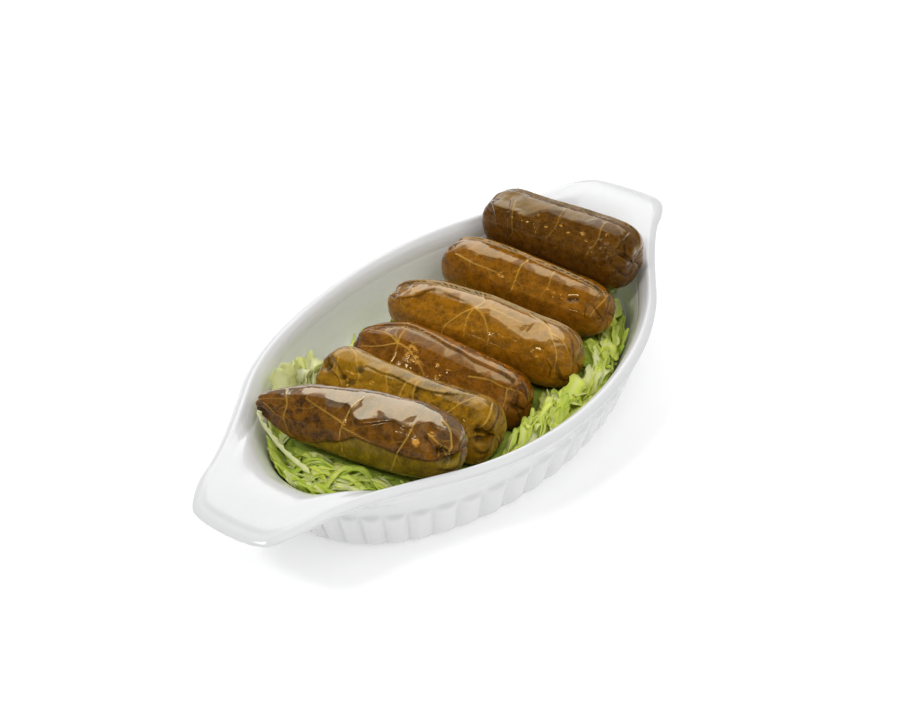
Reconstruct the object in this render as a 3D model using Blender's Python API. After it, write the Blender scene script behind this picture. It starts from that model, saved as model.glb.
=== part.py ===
"""Six stuffed vine leaf rolls on shredded lettuce in their white oval baking dish, in metres, +Z up.

The origin is on the table under the middle of the dish, and +X runs along the dish to one handle."""

import math
import random
from collections import namedtuple

import bmesh
import bpy
import numpy as np
from mathutils import Vector

# The dish: an oval body with a flat tab handle at each end of its length.
HALF_LENGTH = 0.115
RIM_OVAL = (0.088, 0.0572)
RIM_SIDE_HEIGHT = 0.0266
RIM_TIP_HEIGHT = 0.0296
RIM_SWELL = 0.0084
# The inner wall rises to the flat tabs from here to here, as squared shares of the half length.
TAB_RISE = (0.33, 0.80)
TAB_STARTS_AT = 0.060
TAB_SHOULDER = (0.0985, 0.0218)
TAB_CORNER = (0.1131, 0.0134)
# How far the tab's sweep runs on along the rim's own direction before it turns in.
TAB_LEAD = 0.0103
# The rim's direction is taken over this much of a turn each way, so that insets don't cross at corners.
RIM_NUDGE = 0.05
RIBS = 52
RIB_DEPTH = 0.0015
RIB_ROUNDNESS = 2.4
STEPS_PER_RIB = 3
FOOT_RECESS = 0.0012

# One ring round the dish. Its points go from an oval of this half length and half width towards
# the rim's outline, moved in by the inset, by the share called reach. The share called tab is how
# nearly it is level with the rim on the tabs.
DISH_ROW_FIELDS = "half_length half_width inset reach side_height tip_height rib tab"
DishRow = namedtuple("DishRow", DISH_ROW_FIELDS, defaults=[0.0, 0.0])
FOOT_ROWS = (
    DishRow(0.0715, 0.0411, 0.0, 0.0, FOOT_RECESS, FOOT_RECESS),
    DishRow(0.0730, 0.0426, 0.0, 0.0, 0.0000, 0.0000),
    DishRow(0.0772, 0.0460, 0.0, 0.0, 0.0000, 0.0000),
)
OUTER_ROWS = (
    DishRow(0.0787, 0.0475, 0.0, 0.0, 0.0014, 0.0014, 0.6),
    DishRow(0.0793, 0.0480, 0.0, 0.0, 0.0030, 0.0030, 1.0),
    DishRow(0.0802, 0.0489, 0.0, 0.0, 0.0058, 0.0058, 1.0),
    DishRow(0.0828, 0.0516, 0.0, 0.0, 0.0142, 0.0142, 1.0),
    DishRow(0.0837, 0.0527, 0.0, 0.0, 0.0168, 0.0168),
    DishRow(0.0848, 0.0540, 0.0010, 0.04, 0.0198, 0.0212),
    DishRow(0.0860, 0.0555, 0.0012, 0.55, 0.0228, 0.0249),
    DishRow(0.0880, 0.0572, 0.0000, 1.00, 0.0247, 0.0279),
    DishRow(0.0880, 0.0572, 0.0008, 1.00, 0.0258, 0.0289),
    DishRow(0.0880, 0.0572, 0.0026, 1.00, RIM_SIDE_HEIGHT, RIM_TIP_HEIGHT),
    DishRow(0.0880, 0.0572, 0.0045, 1.00, 0.0254, 0.0296, 0.0, 1.0),
)
INNER_ROWS = (
    DishRow(0.0825, 0.0516, 0.0056, 0.93, 0.0235, 0.0295, 0.0, 1.0),
    DishRow(0.0820, 0.0507, 0.0060, 0.68, 0.0220, 0.0289, 0.0, 1.0),
    DishRow(0.0815, 0.0501, 0.0060, 0.36, 0.0206, 0.0271, 0.0, 0.45),
    DishRow(0.0805, 0.0490, 0.0060, 0.14, 0.0176, 0.0226, 0.0, 0.05),
    DishRow(0.0800, 0.0478, 0.0060, 0.05, 0.0146, 0.0195),
    DishRow(0.0795, 0.0466, 0.0, 0.0, 0.0118, 0.0156),
    DishRow(0.0765, 0.0448, 0.0, 0.0, 0.0092, 0.0103),
    DishRow(0.0725, 0.0420, 0.0, 0.0, 0.0069, 0.0069),
    DishRow(0.0660, 0.0375, 0.0, 0.0, 0.0052, 0.0052),
)
FLOOR_HEIGHT = 0.0050

# A roll: the middles of its ends at the back wall and at the front wall, its width, its girth at
# five even stations as shares of that width, how full its two ends are, and where the leaf's last
# edge lies round it, in degrees from the -X side over the top. The first lies by the near handle.
Roll = namedtuple("Roll", "back front width girth fullness seam")
ROLLS = {
    "dolma_1": Roll(
        (-0.0634, 0.0328, 0.0286), (-0.0512, -0.0388, 0.0316),
        0.0212, (0.48, 0.84, 0.98, 1.02, 0.90), (0.25, 0.80), -18,
    ),
    "dolma_2": Roll(
        (-0.0352, 0.0278, 0.0248), (-0.0318, -0.0380, 0.0238),
        0.0214, (1.08, 0.88, 0.82, 0.91, 1.08), (0.70, 0.85), 62,
    ),
    "dolma_3": Roll(
        (-0.0143, 0.0312, 0.0232), (-0.0097, -0.0345, 0.0180),
        0.0210, (0.76, 1.10, 1.06, 0.97, 0.94), (0.40, 0.85), 75,
    ),
    "dolma_4": Roll(
        (0.0113, 0.0355, 0.0240), (0.0133, -0.0392, 0.0240),
        0.0218, (0.74, 1.00, 1.04, 0.94, 0.97), (0.75, 0.85), 58,
    ),
    "dolma_5": Roll(
        (0.0426, 0.0335, 0.0250), (0.0405, -0.0346, 0.0250),
        0.0204, (0.98, 1.00, 0.96, 0.93, 0.90), (0.70, 0.85), 50,
    ),
    "dolma_6": Roll(
        (0.0652, 0.0300, 0.0338), (0.0616, -0.0325, 0.0345),
        0.0232, (0.94, 0.92, 0.94, 0.98, 1.00), (0.80, 0.85), 66,
    ),
}
ROLL_FLATNESS = 0.95
ROLL_SQUARENESS = 2.4
ROLL_END_ROUNDNESS = 2.3
ROLL_SIDES = 20
ROLL_STATIONS = 15
LEAF_STEP = 0.0009
LEAF_EDGE_TURN = 0.05
TUCK_DEPTH = 0.0022
LUMP_SHARE = 0.022
LUMP_ORDERS = (1, 2, 3)
LUMP_WAVES_ALONG = (2.1, 4.3)

# The shredded lettuce under and beside the rolls. The bowl's oval inner wall as it sees it, from
# the middle out: half length, half width, height at the sides, height at the tips.
HEAP_BOWL = (
    (0.0001, 0.0001, 0.0050, 0.0050),
    (0.0660, 0.0375, 0.0052, 0.0052),
    (0.0725, 0.0420, 0.0069, 0.0069),
    (0.0765, 0.0448, 0.0092, 0.0103),
    (0.0795, 0.0466, 0.0118, 0.0156),
    (0.0806, 0.0477, 0.0146, 0.0180),
    (0.0817, 0.0488, 0.0176, 0.0200),
)
HEAP_CLEARANCE = 0.0005
BED_HEIGHT = 0.0142
HEAP_SPOKES = 32
HEAP_RINGS = 6
HEAP_EDGE = 0.0008
HEAP_SEED = 11
HEAP_HALF_LENGTH = 0.0806
BARE_BACK_WALL = 0.0110
BARE_FAR_END = 0.0060
EDGE_WAVES = 5
EDGE_WAVE_DEPTH = 0.0008
RIPPLE = 0.0007
RIPPLE_WAVES = (420, 300, 510)
# Where the bed is higher, with its reach along X and Y and how much it rises.
Mound = namedtuple("Mound", "middle reach height")
HEAP_MOUNDS = (
    Mound((-0.066, 0.000), (0.026, 0.060), 0.0042),
    Mound((0.070, 0.000), (0.022, 0.060), 0.0056),
    Mound((-0.044, 0.043), (0.016, 0.012), 0.0060),
    Mound((0.008, -0.044), (0.034, 0.009), 0.0026),
)
# The hollows that the rolls press into the lettuce: coarser than the rolls, and larger all round.
ROLL_ROOM = 0.0012
ROLL_ROOM_SIDES = 12
ROLL_ROOM_STATIONS = 8
SHRED_THICKNESS = 0.0009
SHRED_WIDTHS = (0.0024, 0.0046)
SHRED_END_TAPER = 0.6
SHRED_SINK = 0.0003
SHRED_STEP = 0.0070
SHRED_WAVE = 1.9
SHRED_MOST_STEPS = 6
SHRED_FEWEST_STEPS = 2
SHRED_ROOM = 0.0016
TRIES_PER_SHRED = 12
WELD = 0.000002

# Where the shreds show. The spread is half the patch's length and width, the heading is in
# degrees, and the lift is how far above the bed a shred may lie.
Patch = namedtuple("Patch", "middle spread heading lift wanted")
SHRED_PATCHES = (
    Patch((-0.069, 0.0040), (0.012, 0.026), 95, 0.0020, 12),
    Patch((0.004, -0.0415), (0.040, 0.006), 12, 0.0030, 12),
    Patch((-0.043, 0.0400), (0.011, 0.006), 35, 0.0040, 6),
    Patch((0.052, -0.0280), (0.010, 0.006), 60, 0.0020, 3),
    Patch((0.030, 0.0340), (0.030, 0.005), 10, 0.0010, 2),
    Patch((0.028, 0.0000), (0.004, 0.024), 85, 0.0010, 1),
)


def smooth_step(value):
    """Eases from 0 to 1 as the value goes from 0 to 1, also for arrays."""
    held = np.clip(value, 0.0, 1.0)
    return held * held * (3.0 - 2.0 * held)


def bezier(start, first, second, end, count):
    """Points of a cubic curve, as an array of two columns."""
    share = np.linspace(0.0, 1.0, count)[:, None]
    rest = 1.0 - share
    corners = [np.array(point) for point in (start, first, second, end)]
    weights = (rest**3, 3 * rest**2 * share, 3 * rest * share**2, share**3)
    return sum(weight * corner for weight, corner in zip(weights, corners))


def tab_outline():
    """Quarter of a tab handle's outline, from where it leaves the rim's oval to the tip."""
    half_length, half_width = RIM_OVAL
    start_y = half_width * math.sqrt(1 - (TAB_STARTS_AT / half_length) ** 2)
    slope = -(half_width**2) * TAB_STARTS_AT / (half_length**2 * start_y)
    start = (TAB_STARTS_AT, start_y)
    leaving = (TAB_STARTS_AT + TAB_LEAD, start_y + TAB_LEAD * slope)
    sweep = bezier(start, leaving, (0.0888, 0.0241), TAB_SHOULDER, 40)
    corner = bezier(TAB_SHOULDER, (0.1021, 0.0209), (0.1116, 0.0167), TAB_CORNER, 20)
    tip = bezier(TAB_CORNER, (0.1147, 0.0098), (HALF_LENGTH, 0.0050), (HALF_LENGTH, 0.0), 20)
    return np.concatenate([sweep, corner[1:], tip[1:]])


def rim_outline(turns):
    """The rim's outer edge for an array of oval parameters, and its outward normals."""
    outline = tab_outline()
    steps = np.linalg.norm(np.diff(outline, axis=0), axis=1)
    reached = np.concatenate([[0.0], np.cumsum(steps)]) / steps.sum()

    def edge(values):
        quarter = np.arctan2(np.abs(np.sin(values)), np.abs(np.cos(values)))
        leave = math.acos(TAB_STARTS_AT / RIM_OVAL[0])
        share = np.clip(1.0 - quarter / leave, 0.0, 1.0)
        on_tab = np.stack([np.interp(share, reached, outline[:, axis]) for axis in (0, 1)], axis=1)
        on_oval = np.stack([RIM_OVAL[0] * np.cos(quarter), RIM_OVAL[1] * np.sin(quarter)], axis=1)
        points = np.where((quarter < leave)[:, None], on_tab, on_oval)
        return points * np.sign(np.stack([np.cos(values), np.sin(values)], axis=1))

    along = edge(turns + RIM_NUDGE) - edge(turns - RIM_NUDGE)
    normals = np.stack([along[:, 1], -along[:, 0]], axis=1)
    return edge(turns), normals / np.linalg.norm(normals, axis=1)[:, None]


def rim_height(toward_tip):
    """Height of the rim's crest for a squared share of the half length."""
    swell = RIM_SWELL * (toward_tip - toward_tip**3)
    return RIM_SIDE_HEIGHT + (RIM_TIP_HEIGHT - RIM_SIDE_HEIGHT) * toward_tip + swell


def dish_row(row, turns):
    """One ring of points round the dish."""
    edge, normals = rim_outline(turns)
    around = np.stack([np.cos(turns), np.sin(turns)], axis=1)
    oval = around * (row.half_length, row.half_width)
    outward = around * (row.half_width, row.half_length)
    outward /= np.linalg.norm(outward, axis=1)[:, None]
    phase = (turns * RIBS / (2 * math.pi)) % 1.0
    bulge = RIB_DEPTH * row.rib * (1.0 - np.abs(2 * phase - 1.0) ** RIB_ROUNDNESS)
    flat = (1 - row.reach) * (oval + outward * bulge[:, None]) + row.reach * (edge - normals * row.inset)
    toward_tip = (edge[:, 0] / HALF_LENGTH) ** 2
    rise = smooth_step((toward_tip - TAB_RISE[0]) / (TAB_RISE[1] - TAB_RISE[0]))
    risen = toward_tip + row.tab * (rise - toward_tip)
    swell = RIM_SWELL * row.reach * (toward_tip - toward_tip**3)
    height = row.side_height + (row.tip_height - row.side_height) * risen + swell
    level = rim_height((flat[:, 0] / HALF_LENGTH) ** 2)
    return np.column_stack([flat, height + row.tab * rise * (level - height)])


def new_material(name, color, roughness, subsurface=0.0):
    material = bpy.data.materials.new(name)
    material.use_nodes = True
    shader = material.node_tree.nodes["Principled BSDF"]
    shader.inputs["Base Color"].default_value = (*color, 1.0)
    shader.inputs["Roughness"].default_value = roughness
    shader.inputs["Metallic"].default_value = 0.0
    shader.inputs["Subsurface Weight"].default_value = subsurface
    material.diffuse_color = (*color, 1.0)
    return material


def new_object(name, mesh_tools, material, collection):
    """Makes one object from a finished bmesh, with every face a triangle and every normal outward."""
    bmesh.ops.triangulate(mesh_tools, faces=mesh_tools.faces[:])
    bmesh.ops.recalc_face_normals(mesh_tools, faces=mesh_tools.faces[:])
    mesh = bpy.data.meshes.new(name)
    mesh_tools.to_mesh(mesh)
    mesh_tools.free()
    mesh.materials.append(material)
    mesh.shade_smooth()
    mesh.set_sharp_from_angle(angle=math.radians(50))
    thing = bpy.data.objects.new(name, mesh)
    collection.objects.link(thing)
    return thing


def add_ring(mesh_tools, points):
    return [mesh_tools.verts.new(Vector(point)) for point in points]


def join_rings(mesh_tools, lower, upper):
    """Joins two closed rings, of as many points each or one with half as many as the other."""
    if len(upper) == len(lower):
        for index in range(len(lower)):
            after = (index + 1) % len(lower)
            mesh_tools.faces.new((lower[index], lower[after], upper[after], upper[index]))
        return
    many, few = (lower, upper) if len(lower) > len(upper) else (upper, lower)
    for index in range(len(few)):
        after = (index + 1) % len(few)
        first, middle, last = (many[(2 * index + step) % len(many)] for step in range(3))
        mesh_tools.faces.new((first, middle, few[index]))
        mesh_tools.faces.new((middle, few[after], few[index]))
        mesh_tools.faces.new((middle, last, few[after]))


def close_ring(mesh_tools, ring, middle):
    """Fills a ring with a fan round one middle point."""
    hub = mesh_tools.verts.new(Vector(middle))
    for index in range(len(ring)):
        mesh_tools.faces.new((ring[index], ring[(index + 1) % len(ring)], hub))


def make_dish(material, collection):
    tools = bmesh.new()
    count = RIBS * STEPS_PER_RIB
    fine_turns = np.arange(count) * 2 * math.pi / count
    coarse_turns = fine_turns[::2]
    rings = [add_ring(tools, dish_row(row, coarse_turns)) for row in FOOT_ROWS]
    rings += [add_ring(tools, dish_row(row, fine_turns)) for row in OUTER_ROWS]
    rings += [add_ring(tools, dish_row(row, coarse_turns)) for row in INNER_ROWS]
    for lower, upper in zip(rings, rings[1:]):
        join_rings(tools, lower, upper)
    close_ring(tools, rings[-1], (0, 0, FLOOR_HEIGHT))
    close_ring(tools, rings[0], (0, 0, FOOT_RECESS))
    return new_object("dish", tools, material, collection)


def roll_frame(roll):
    """Middle, direction, sideways and upward vectors, and half length of a roll."""
    back, front = np.array(roll.back), np.array(roll.front)
    half = np.linalg.norm(front - back) / 2
    axis = (front - back) / (2 * half)
    side = np.cross((0, 0, 1.0), axis)
    side /= np.linalg.norm(side)
    return (back + front) / 2, axis, side, np.cross(axis, side), half


def roll_share(roll, station):
    """How thick a roll is at a station from -1, its back end, to 1, as a share of its width."""
    fullness = roll.fullness[0] if station < 0 else roll.fullness[1]
    rounded = max(0.0, 1.0 - abs(station) ** (2.0 + 7.0 * fullness)) ** (1.0 / ROLL_END_ROUNDNESS)
    girth = np.interp(station, np.linspace(-1.0, 1.0, len(roll.girth)), roll.girth)
    return rounded * float(girth)


def lumps(seed, station, turn):
    """A gentle unevenness of the filling under the leaf, the same each time for one seed."""
    waves = random.Random(seed)
    total = 0.0
    for order in LUMP_ORDERS:
        for along in LUMP_WAVES_ALONG:
            phase = waves.uniform(0, 2 * math.pi)
            total += math.sin(order * turn + along * station + phase) / (order + 1)
    return LUMP_SHARE * total


def roll_rings(roll, seed, sides, stations, swelling):
    """The rings of points of a roll, grown by a swelling on every side."""
    middle, axis, side, up, half = roll_frame(roll)
    half_width = roll.width / 2
    half_height = half_width * ROLL_FLATNESS
    seam = math.radians(roll.seam)
    turns = [seam + 2 * math.pi * index / sides for index in range(sides)]
    turns.append(seam + 2 * math.pi - LEAF_EDGE_TURN)
    rings = []
    for index in range(stations):
        station = -math.cos(math.pi * (index + 0.55) / (stations + 0.1))
        share = roll_share(roll, station)
        centre = middle + axis * station * (half + swelling)
        ring = []
        for place, turn in enumerate(turns):
            around = place / (len(turns) - 1)
            reach = share * (1.0 + lumps(seed, station, turn))
            leaf = LEAF_STEP * share * (1.0 - around) + swelling
            power = 2.0 / ROLL_SQUARENESS
            over = -math.copysign(abs(math.cos(turn)) ** power, math.cos(turn))
            above = math.copysign(abs(math.sin(turn)) ** power, math.sin(turn))
            sideways = side * over * (half_width * reach + leaf)
            ring.append(centre + sideways + up * above * (half_height * reach + leaf))
        rings.append(ring)
    return rings


def make_roll_mesh(roll, seed, sides=ROLL_SIDES, stations=ROLL_STATIONS, swelling=0.0):
    tools = bmesh.new()
    middle, axis, _, _, half = roll_frame(roll)
    rings = [add_ring(tools, ring) for ring in roll_rings(roll, seed, sides, stations, swelling)]
    for lower, upper in zip(rings, rings[1:]):
        join_rings(tools, lower, upper)
    tuck = half - TUCK_DEPTH + 2 * swelling
    close_ring(tools, rings[0], middle - axis * tuck)
    close_ring(tools, rings[-1], middle + axis * tuck)
    return tools


def bowl_row(half_length):
    """Half width, side height and tip height of the bowl where it has this half length."""
    rows = np.array(HEAP_BOWL)
    return tuple(float(np.interp(half_length, rows[:, 0], rows[:, column])) for column in (1, 2, 3))


def bowl_height(half_length, turn):
    _, side_height, tip_height = bowl_row(half_length)
    return side_height + (tip_height - side_height) * math.cos(turn) ** 2


def bowl_place(x, y):
    """Half length and oval parameter of the bowl's ring that passes over a point."""
    low, high = HEAP_BOWL[0][0], HEAP_BOWL[-1][0]
    for _ in range(30):
        middle = (low + high) / 2
        half_width = bowl_row(middle)[0]
        if (x / middle) ** 2 + (y / half_width) ** 2 > 1.0:
            low = middle
        else:
            high = middle
    return high, math.atan2(y / bowl_row(high)[0], x / high)


def heap_edge(turn):
    """Half length of the bowl's ring where the lettuce ends, which leaves the back wall bare."""
    behind = smooth_step((math.sin(turn) - 0.10) / 0.35)
    near_handle = smooth_step((-math.cos(turn) - 0.22) / 0.25)
    bare = float(behind * (1.0 - near_handle))
    far_end = float(smooth_step((math.cos(turn) - 0.70) / 0.25))
    waves = EDGE_WAVE_DEPTH * (1 + math.sin(EDGE_WAVES * turn))
    return HEAP_HALF_LENGTH - BARE_BACK_WALL * bare - BARE_FAR_END * far_end - waves


def heap_top(x, y):
    """Height of the lettuce bed over a point."""
    half_length, turn = bowl_place(x, y)
    inward = 1.0 - half_length / heap_edge(turn)
    along, swing, across = RIPPLE_WAVES
    rise = RIPPLE * (math.sin(along * x + 2 * math.sin(swing * y)) + math.sin(across * y + 1.3))
    for mound in HEAP_MOUNDS:
        offset_x = (x - mound.middle[0]) / mound.reach[0]
        offset_y = (y - mound.middle[1]) / mound.reach[1]
        away = math.hypot(offset_x, offset_y)
        rise += mound.height * float(smooth_step(1.4 * (1.0 - away)))
    floor = bowl_height(half_length, turn)
    body = max(BED_HEIGHT + rise - floor, 0.0)
    return floor + HEAP_CLEARANCE + HEAP_EDGE + body * float(smooth_step(inward * 9.0))


def make_heap_core():
    """The lettuce bed without its shreds: the bowl's shape below and a low mound above."""
    tools = bmesh.new()
    turns = [2 * math.pi * index / HEAP_SPOKES for index in range(HEAP_SPOKES)]
    lower_rings, upper_rings = [], []
    for ring in range(1, HEAP_RINGS + 1):
        share = (ring / HEAP_RINGS) ** 0.62
        below, above = [], []
        for turn in turns:
            half_length = heap_edge(turn) * share
            half_width = bowl_row(half_length)[0] - HEAP_CLEARANCE
            x, y = (half_length - HEAP_CLEARANCE) * math.cos(turn), half_width * math.sin(turn)
            floor = bowl_height(half_length, turn) + HEAP_CLEARANCE
            below.append((x, y, floor))
            above.append((x, y, max(heap_top(x, y), floor + HEAP_EDGE)))
        lower_rings.append(add_ring(tools, below))
        upper_rings.append(add_ring(tools, above))
    rings = lower_rings + upper_rings[::-1]
    for lower, upper in zip(rings, rings[1:]):
        join_rings(tools, lower, upper)
    close_ring(tools, rings[0], (0, 0, FLOOR_HEIGHT + HEAP_CLEARANCE))
    close_ring(tools, rings[-1], (0, 0, heap_top(0.0, 0.0)))
    return tools


def clear_of_rolls(point, room):
    for roll in ROLLS.values():
        middle, axis, side, up, half = roll_frame(roll)
        offset = np.array(point) - middle
        station = float(offset @ axis) / (half + room)
        if abs(station) >= 1.0:
            continue
        reach = roll_share(roll, station) * roll.width / 2 + room
        if math.hypot(float(offset @ side), float(offset @ up) / ROLL_FLATNESS) < reach * 1.03:
            return False
    return True


def clear_of_bowl(point, room):
    half_length, turn = bowl_place(point[0], point[1])
    inside = half_length < HEAP_BOWL[-1][0] - SHRED_SINK
    return inside and point[2] > bowl_height(half_length, turn) + room


def is_free(corner):
    return clear_of_rolls(corner, SHRED_ROOM) and clear_of_bowl(corner, 2 * HEAP_CLEARANCE)


def shred_sections(start, heading, width, tilt, lift, draws):
    """Corner points of a shred's cross-sections along a wavy path over the bed."""
    x, y = start
    sections = []
    curl = draws.uniform(-0.5, 0.5)
    for step in range(SHRED_MOST_STEPS):
        wave = math.sin(step * SHRED_WAVE + 6 * curl)
        across = Vector((-math.sin(heading), math.cos(heading), 0.0))
        height = heap_top(x, y) - SHRED_SINK + lift * (0.5 + 0.5 * wave) * min(step, 1)
        lean = tilt + 0.5 * wave
        flat = across * math.cos(lean) + Vector((0, 0, math.sin(lean)))
        normal = Vector((math.cos(heading), math.sin(heading), 0)).cross(flat)
        middle = Vector((x, y, height))
        taper = SHRED_END_TAPER if step in (0, SHRED_MOST_STEPS - 1) else 1.0
        section = []
        for way, face in ((-1, -1), (1, -1), (1, 1), (-1, 1)):
            offset = flat * (way * width * taper / 2) + normal * (face * SHRED_THICKNESS / 2)
            section.append(middle + offset)
        if not all(is_free(corner) for corner in section):
            break
        sections.append(section)
        heading += curl * 0.5 + draws.uniform(-0.25, 0.25)
        x += SHRED_STEP * math.cos(heading)
        y += SHRED_STEP * math.sin(heading)
    return sections


def make_shred(sections):
    """A thin strip whose two faces are split into triangles alike."""
    tools = bmesh.new()
    rings = [add_ring(tools, section) for section in sections]
    for one, two in zip(rings, rings[1:]):
        for first, second in ((0, 1), (1, 2), (3, 2), (0, 3)):
            tools.faces.new((one[first], one[second], two[second]))
            tools.faces.new((one[first], two[second], two[first]))
    for ring in (rings[0], rings[-1]):
        tools.faces.new((ring[0], ring[1], ring[2]))
        tools.faces.new((ring[0], ring[2], ring[3]))
    return tools


def add_shreds(material, collection):
    draws = random.Random(HEAP_SEED)
    for patch in SHRED_PATCHES:
        made = 0
        for _ in range(patch.wanted * TRIES_PER_SHRED):
            if made == patch.wanted:
                break
            x = patch.middle[0] + patch.spread[0] * draws.uniform(-1, 1)
            y = patch.middle[1] + patch.spread[1] * draws.uniform(-1, 1)
            way = math.radians(patch.heading + draws.uniform(-55, 55))
            way += math.pi * draws.randint(0, 1)
            width = draws.uniform(*SHRED_WIDTHS)
            tilt = draws.uniform(-0.6, 0.6)
            sections = shred_sections((x, y), way, width, tilt, patch.lift, draws)
            if len(sections) > SHRED_FEWEST_STEPS:
                new_object("shred", make_shred(sections), material, collection)
                made += 1


def keep_largest_island(mesh):
    """Drops loose scraps, and the skins of hollows sealed in by the joining."""
    tools = bmesh.new()
    tools.from_mesh(mesh)
    bmesh.ops.remove_doubles(tools, verts=tools.verts[:], dist=WELD)
    bmesh.ops.triangulate(tools, faces=tools.faces[:])
    unseen = set(tools.faces)
    islands = []
    while unseen:
        island, front = set(), [unseen.pop()]
        while front:
            face = front.pop()
            island.add(face)
            near = {other for edge in face.edges for other in edge.link_faces} & unseen
            unseen -= near
            front.extend(near)
        islands.append(island)
    largest = max(islands, key=len)
    loose = [face for face in tools.faces if face not in largest]
    bmesh.ops.delete(tools, geom=loose, context="FACES")
    tools.to_mesh(mesh)
    tools.free()


def add_boolean(thing, operation, others):
    change = thing.modifiers.new(operation.lower(), "BOOLEAN")
    change.operation = operation
    change.operand_type = "COLLECTION"
    change.collection = others
    change.solver = "MANIFOLD"


def make_lettuce(material, collection):
    """One heap: the bed, hollowed where the rolls press into it, with its shreds fused on."""
    heap = new_object("lettuce", make_heap_core(), material, collection)
    roll_room = bpy.data.collections.new("roll_room")
    shreds = bpy.data.collections.new("shreds")
    for seed, (name, roll) in enumerate(ROLLS.items()):
        room = make_roll_mesh(roll, seed, ROLL_ROOM_SIDES, ROLL_ROOM_STATIONS, ROLL_ROOM)
        new_object(name + "_room", room, material, roll_room)
    add_shreds(material, shreds)
    add_boolean(heap, "DIFFERENCE", roll_room)
    add_boolean(heap, "UNION", shreds)
    graph = bpy.context.evaluated_depsgraph_get()
    fused = bpy.data.meshes.new_from_object(heap.evaluated_get(graph))
    heap.modifiers.clear()
    heap.data = fused
    for helpers in (roll_room, shreds):
        for helper in list(helpers.objects):
            bpy.data.objects.remove(helper, do_unlink=True)
        bpy.data.collections.remove(helpers)
    keep_largest_island(fused)


def main():
    for thing in list(bpy.data.objects):
        bpy.data.objects.remove(thing, do_unlink=True)
    scene = bpy.context.scene
    scene.unit_settings.system = "METRIC"
    collection = bpy.data.collections.new("dolma_dish")
    scene.collection.children.link(collection)
    glaze = new_material("white_glaze", (0.87, 0.87, 0.88), 0.12)
    leaf = new_material("cooked_vine_leaf", (0.16, 0.07, 0.012), 0.22, 0.1)
    lettuce = new_material("shredded_lettuce", (0.52, 0.62, 0.20), 0.45, 0.1)
    make_dish(glaze, collection)
    make_lettuce(lettuce, collection)
    for seed, (name, roll) in enumerate(ROLLS.items()):
        new_object(name, make_roll_mesh(roll, seed), leaf, collection)


main()
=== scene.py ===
"""The looks of the stuffed vine leaves in their dish: wet leaf rolls, loose lettuce, white glaze.

Places on a roll are a station from -1, its back end, to 1, its front end, and a turn in degrees
from its -X side over the top. The rest is in metres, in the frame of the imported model."""

import math
import random
from collections import namedtuple
from functools import lru_cache, partial

import bpy
import numpy as np
from mathutils import Matrix, Quaternion, Vector

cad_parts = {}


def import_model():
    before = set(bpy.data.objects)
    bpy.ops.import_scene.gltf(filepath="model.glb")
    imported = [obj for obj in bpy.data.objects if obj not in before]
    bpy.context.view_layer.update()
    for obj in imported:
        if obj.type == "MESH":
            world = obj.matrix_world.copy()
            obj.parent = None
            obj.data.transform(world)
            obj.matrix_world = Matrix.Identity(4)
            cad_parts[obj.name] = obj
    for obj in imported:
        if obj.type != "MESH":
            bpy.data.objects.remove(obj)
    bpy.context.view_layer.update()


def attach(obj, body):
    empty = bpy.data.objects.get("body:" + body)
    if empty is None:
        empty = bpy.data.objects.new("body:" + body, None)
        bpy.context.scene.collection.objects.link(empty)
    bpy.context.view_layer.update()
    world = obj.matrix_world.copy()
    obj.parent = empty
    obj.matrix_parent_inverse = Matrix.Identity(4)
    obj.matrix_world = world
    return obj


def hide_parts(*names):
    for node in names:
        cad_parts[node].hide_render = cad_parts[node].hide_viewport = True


# The dish, as in the part's source.
HALF_LENGTH = 0.115
RIM_OVAL = (0.088, 0.0572)
RIM_HEIGHTS = (0.0266, 0.0296)
RIM_SWELL = 0.0084
TAB_RISE = (0.33, 0.80)
TAB_STARTS_AT = 0.060
TAB_SHOULDER = (0.0985, 0.0218)
TAB_CORNER = (0.1131, 0.0134)
TAB_LEAD = 0.0103
TAB_SWEEP_PULL = (0.0888, 0.0241)
TAB_CORNER_PULLS = ((0.1021, 0.0209), (0.1116, 0.0167))
TAB_TIP_PULLS = ((0.1147, 0.0098), (HALF_LENGTH, 0.0050))
RIM_NUDGE = 0.05
RIBS = 52
RIB_DEPTH = 0.0015
RIB_ROUNDNESS = 2.4
STEPS_PER_RIB = 12
STEPS_PER_ROW = 4
FOOT_RECESS = 0.0012
FLOOR_HEIGHT = 0.0050
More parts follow.
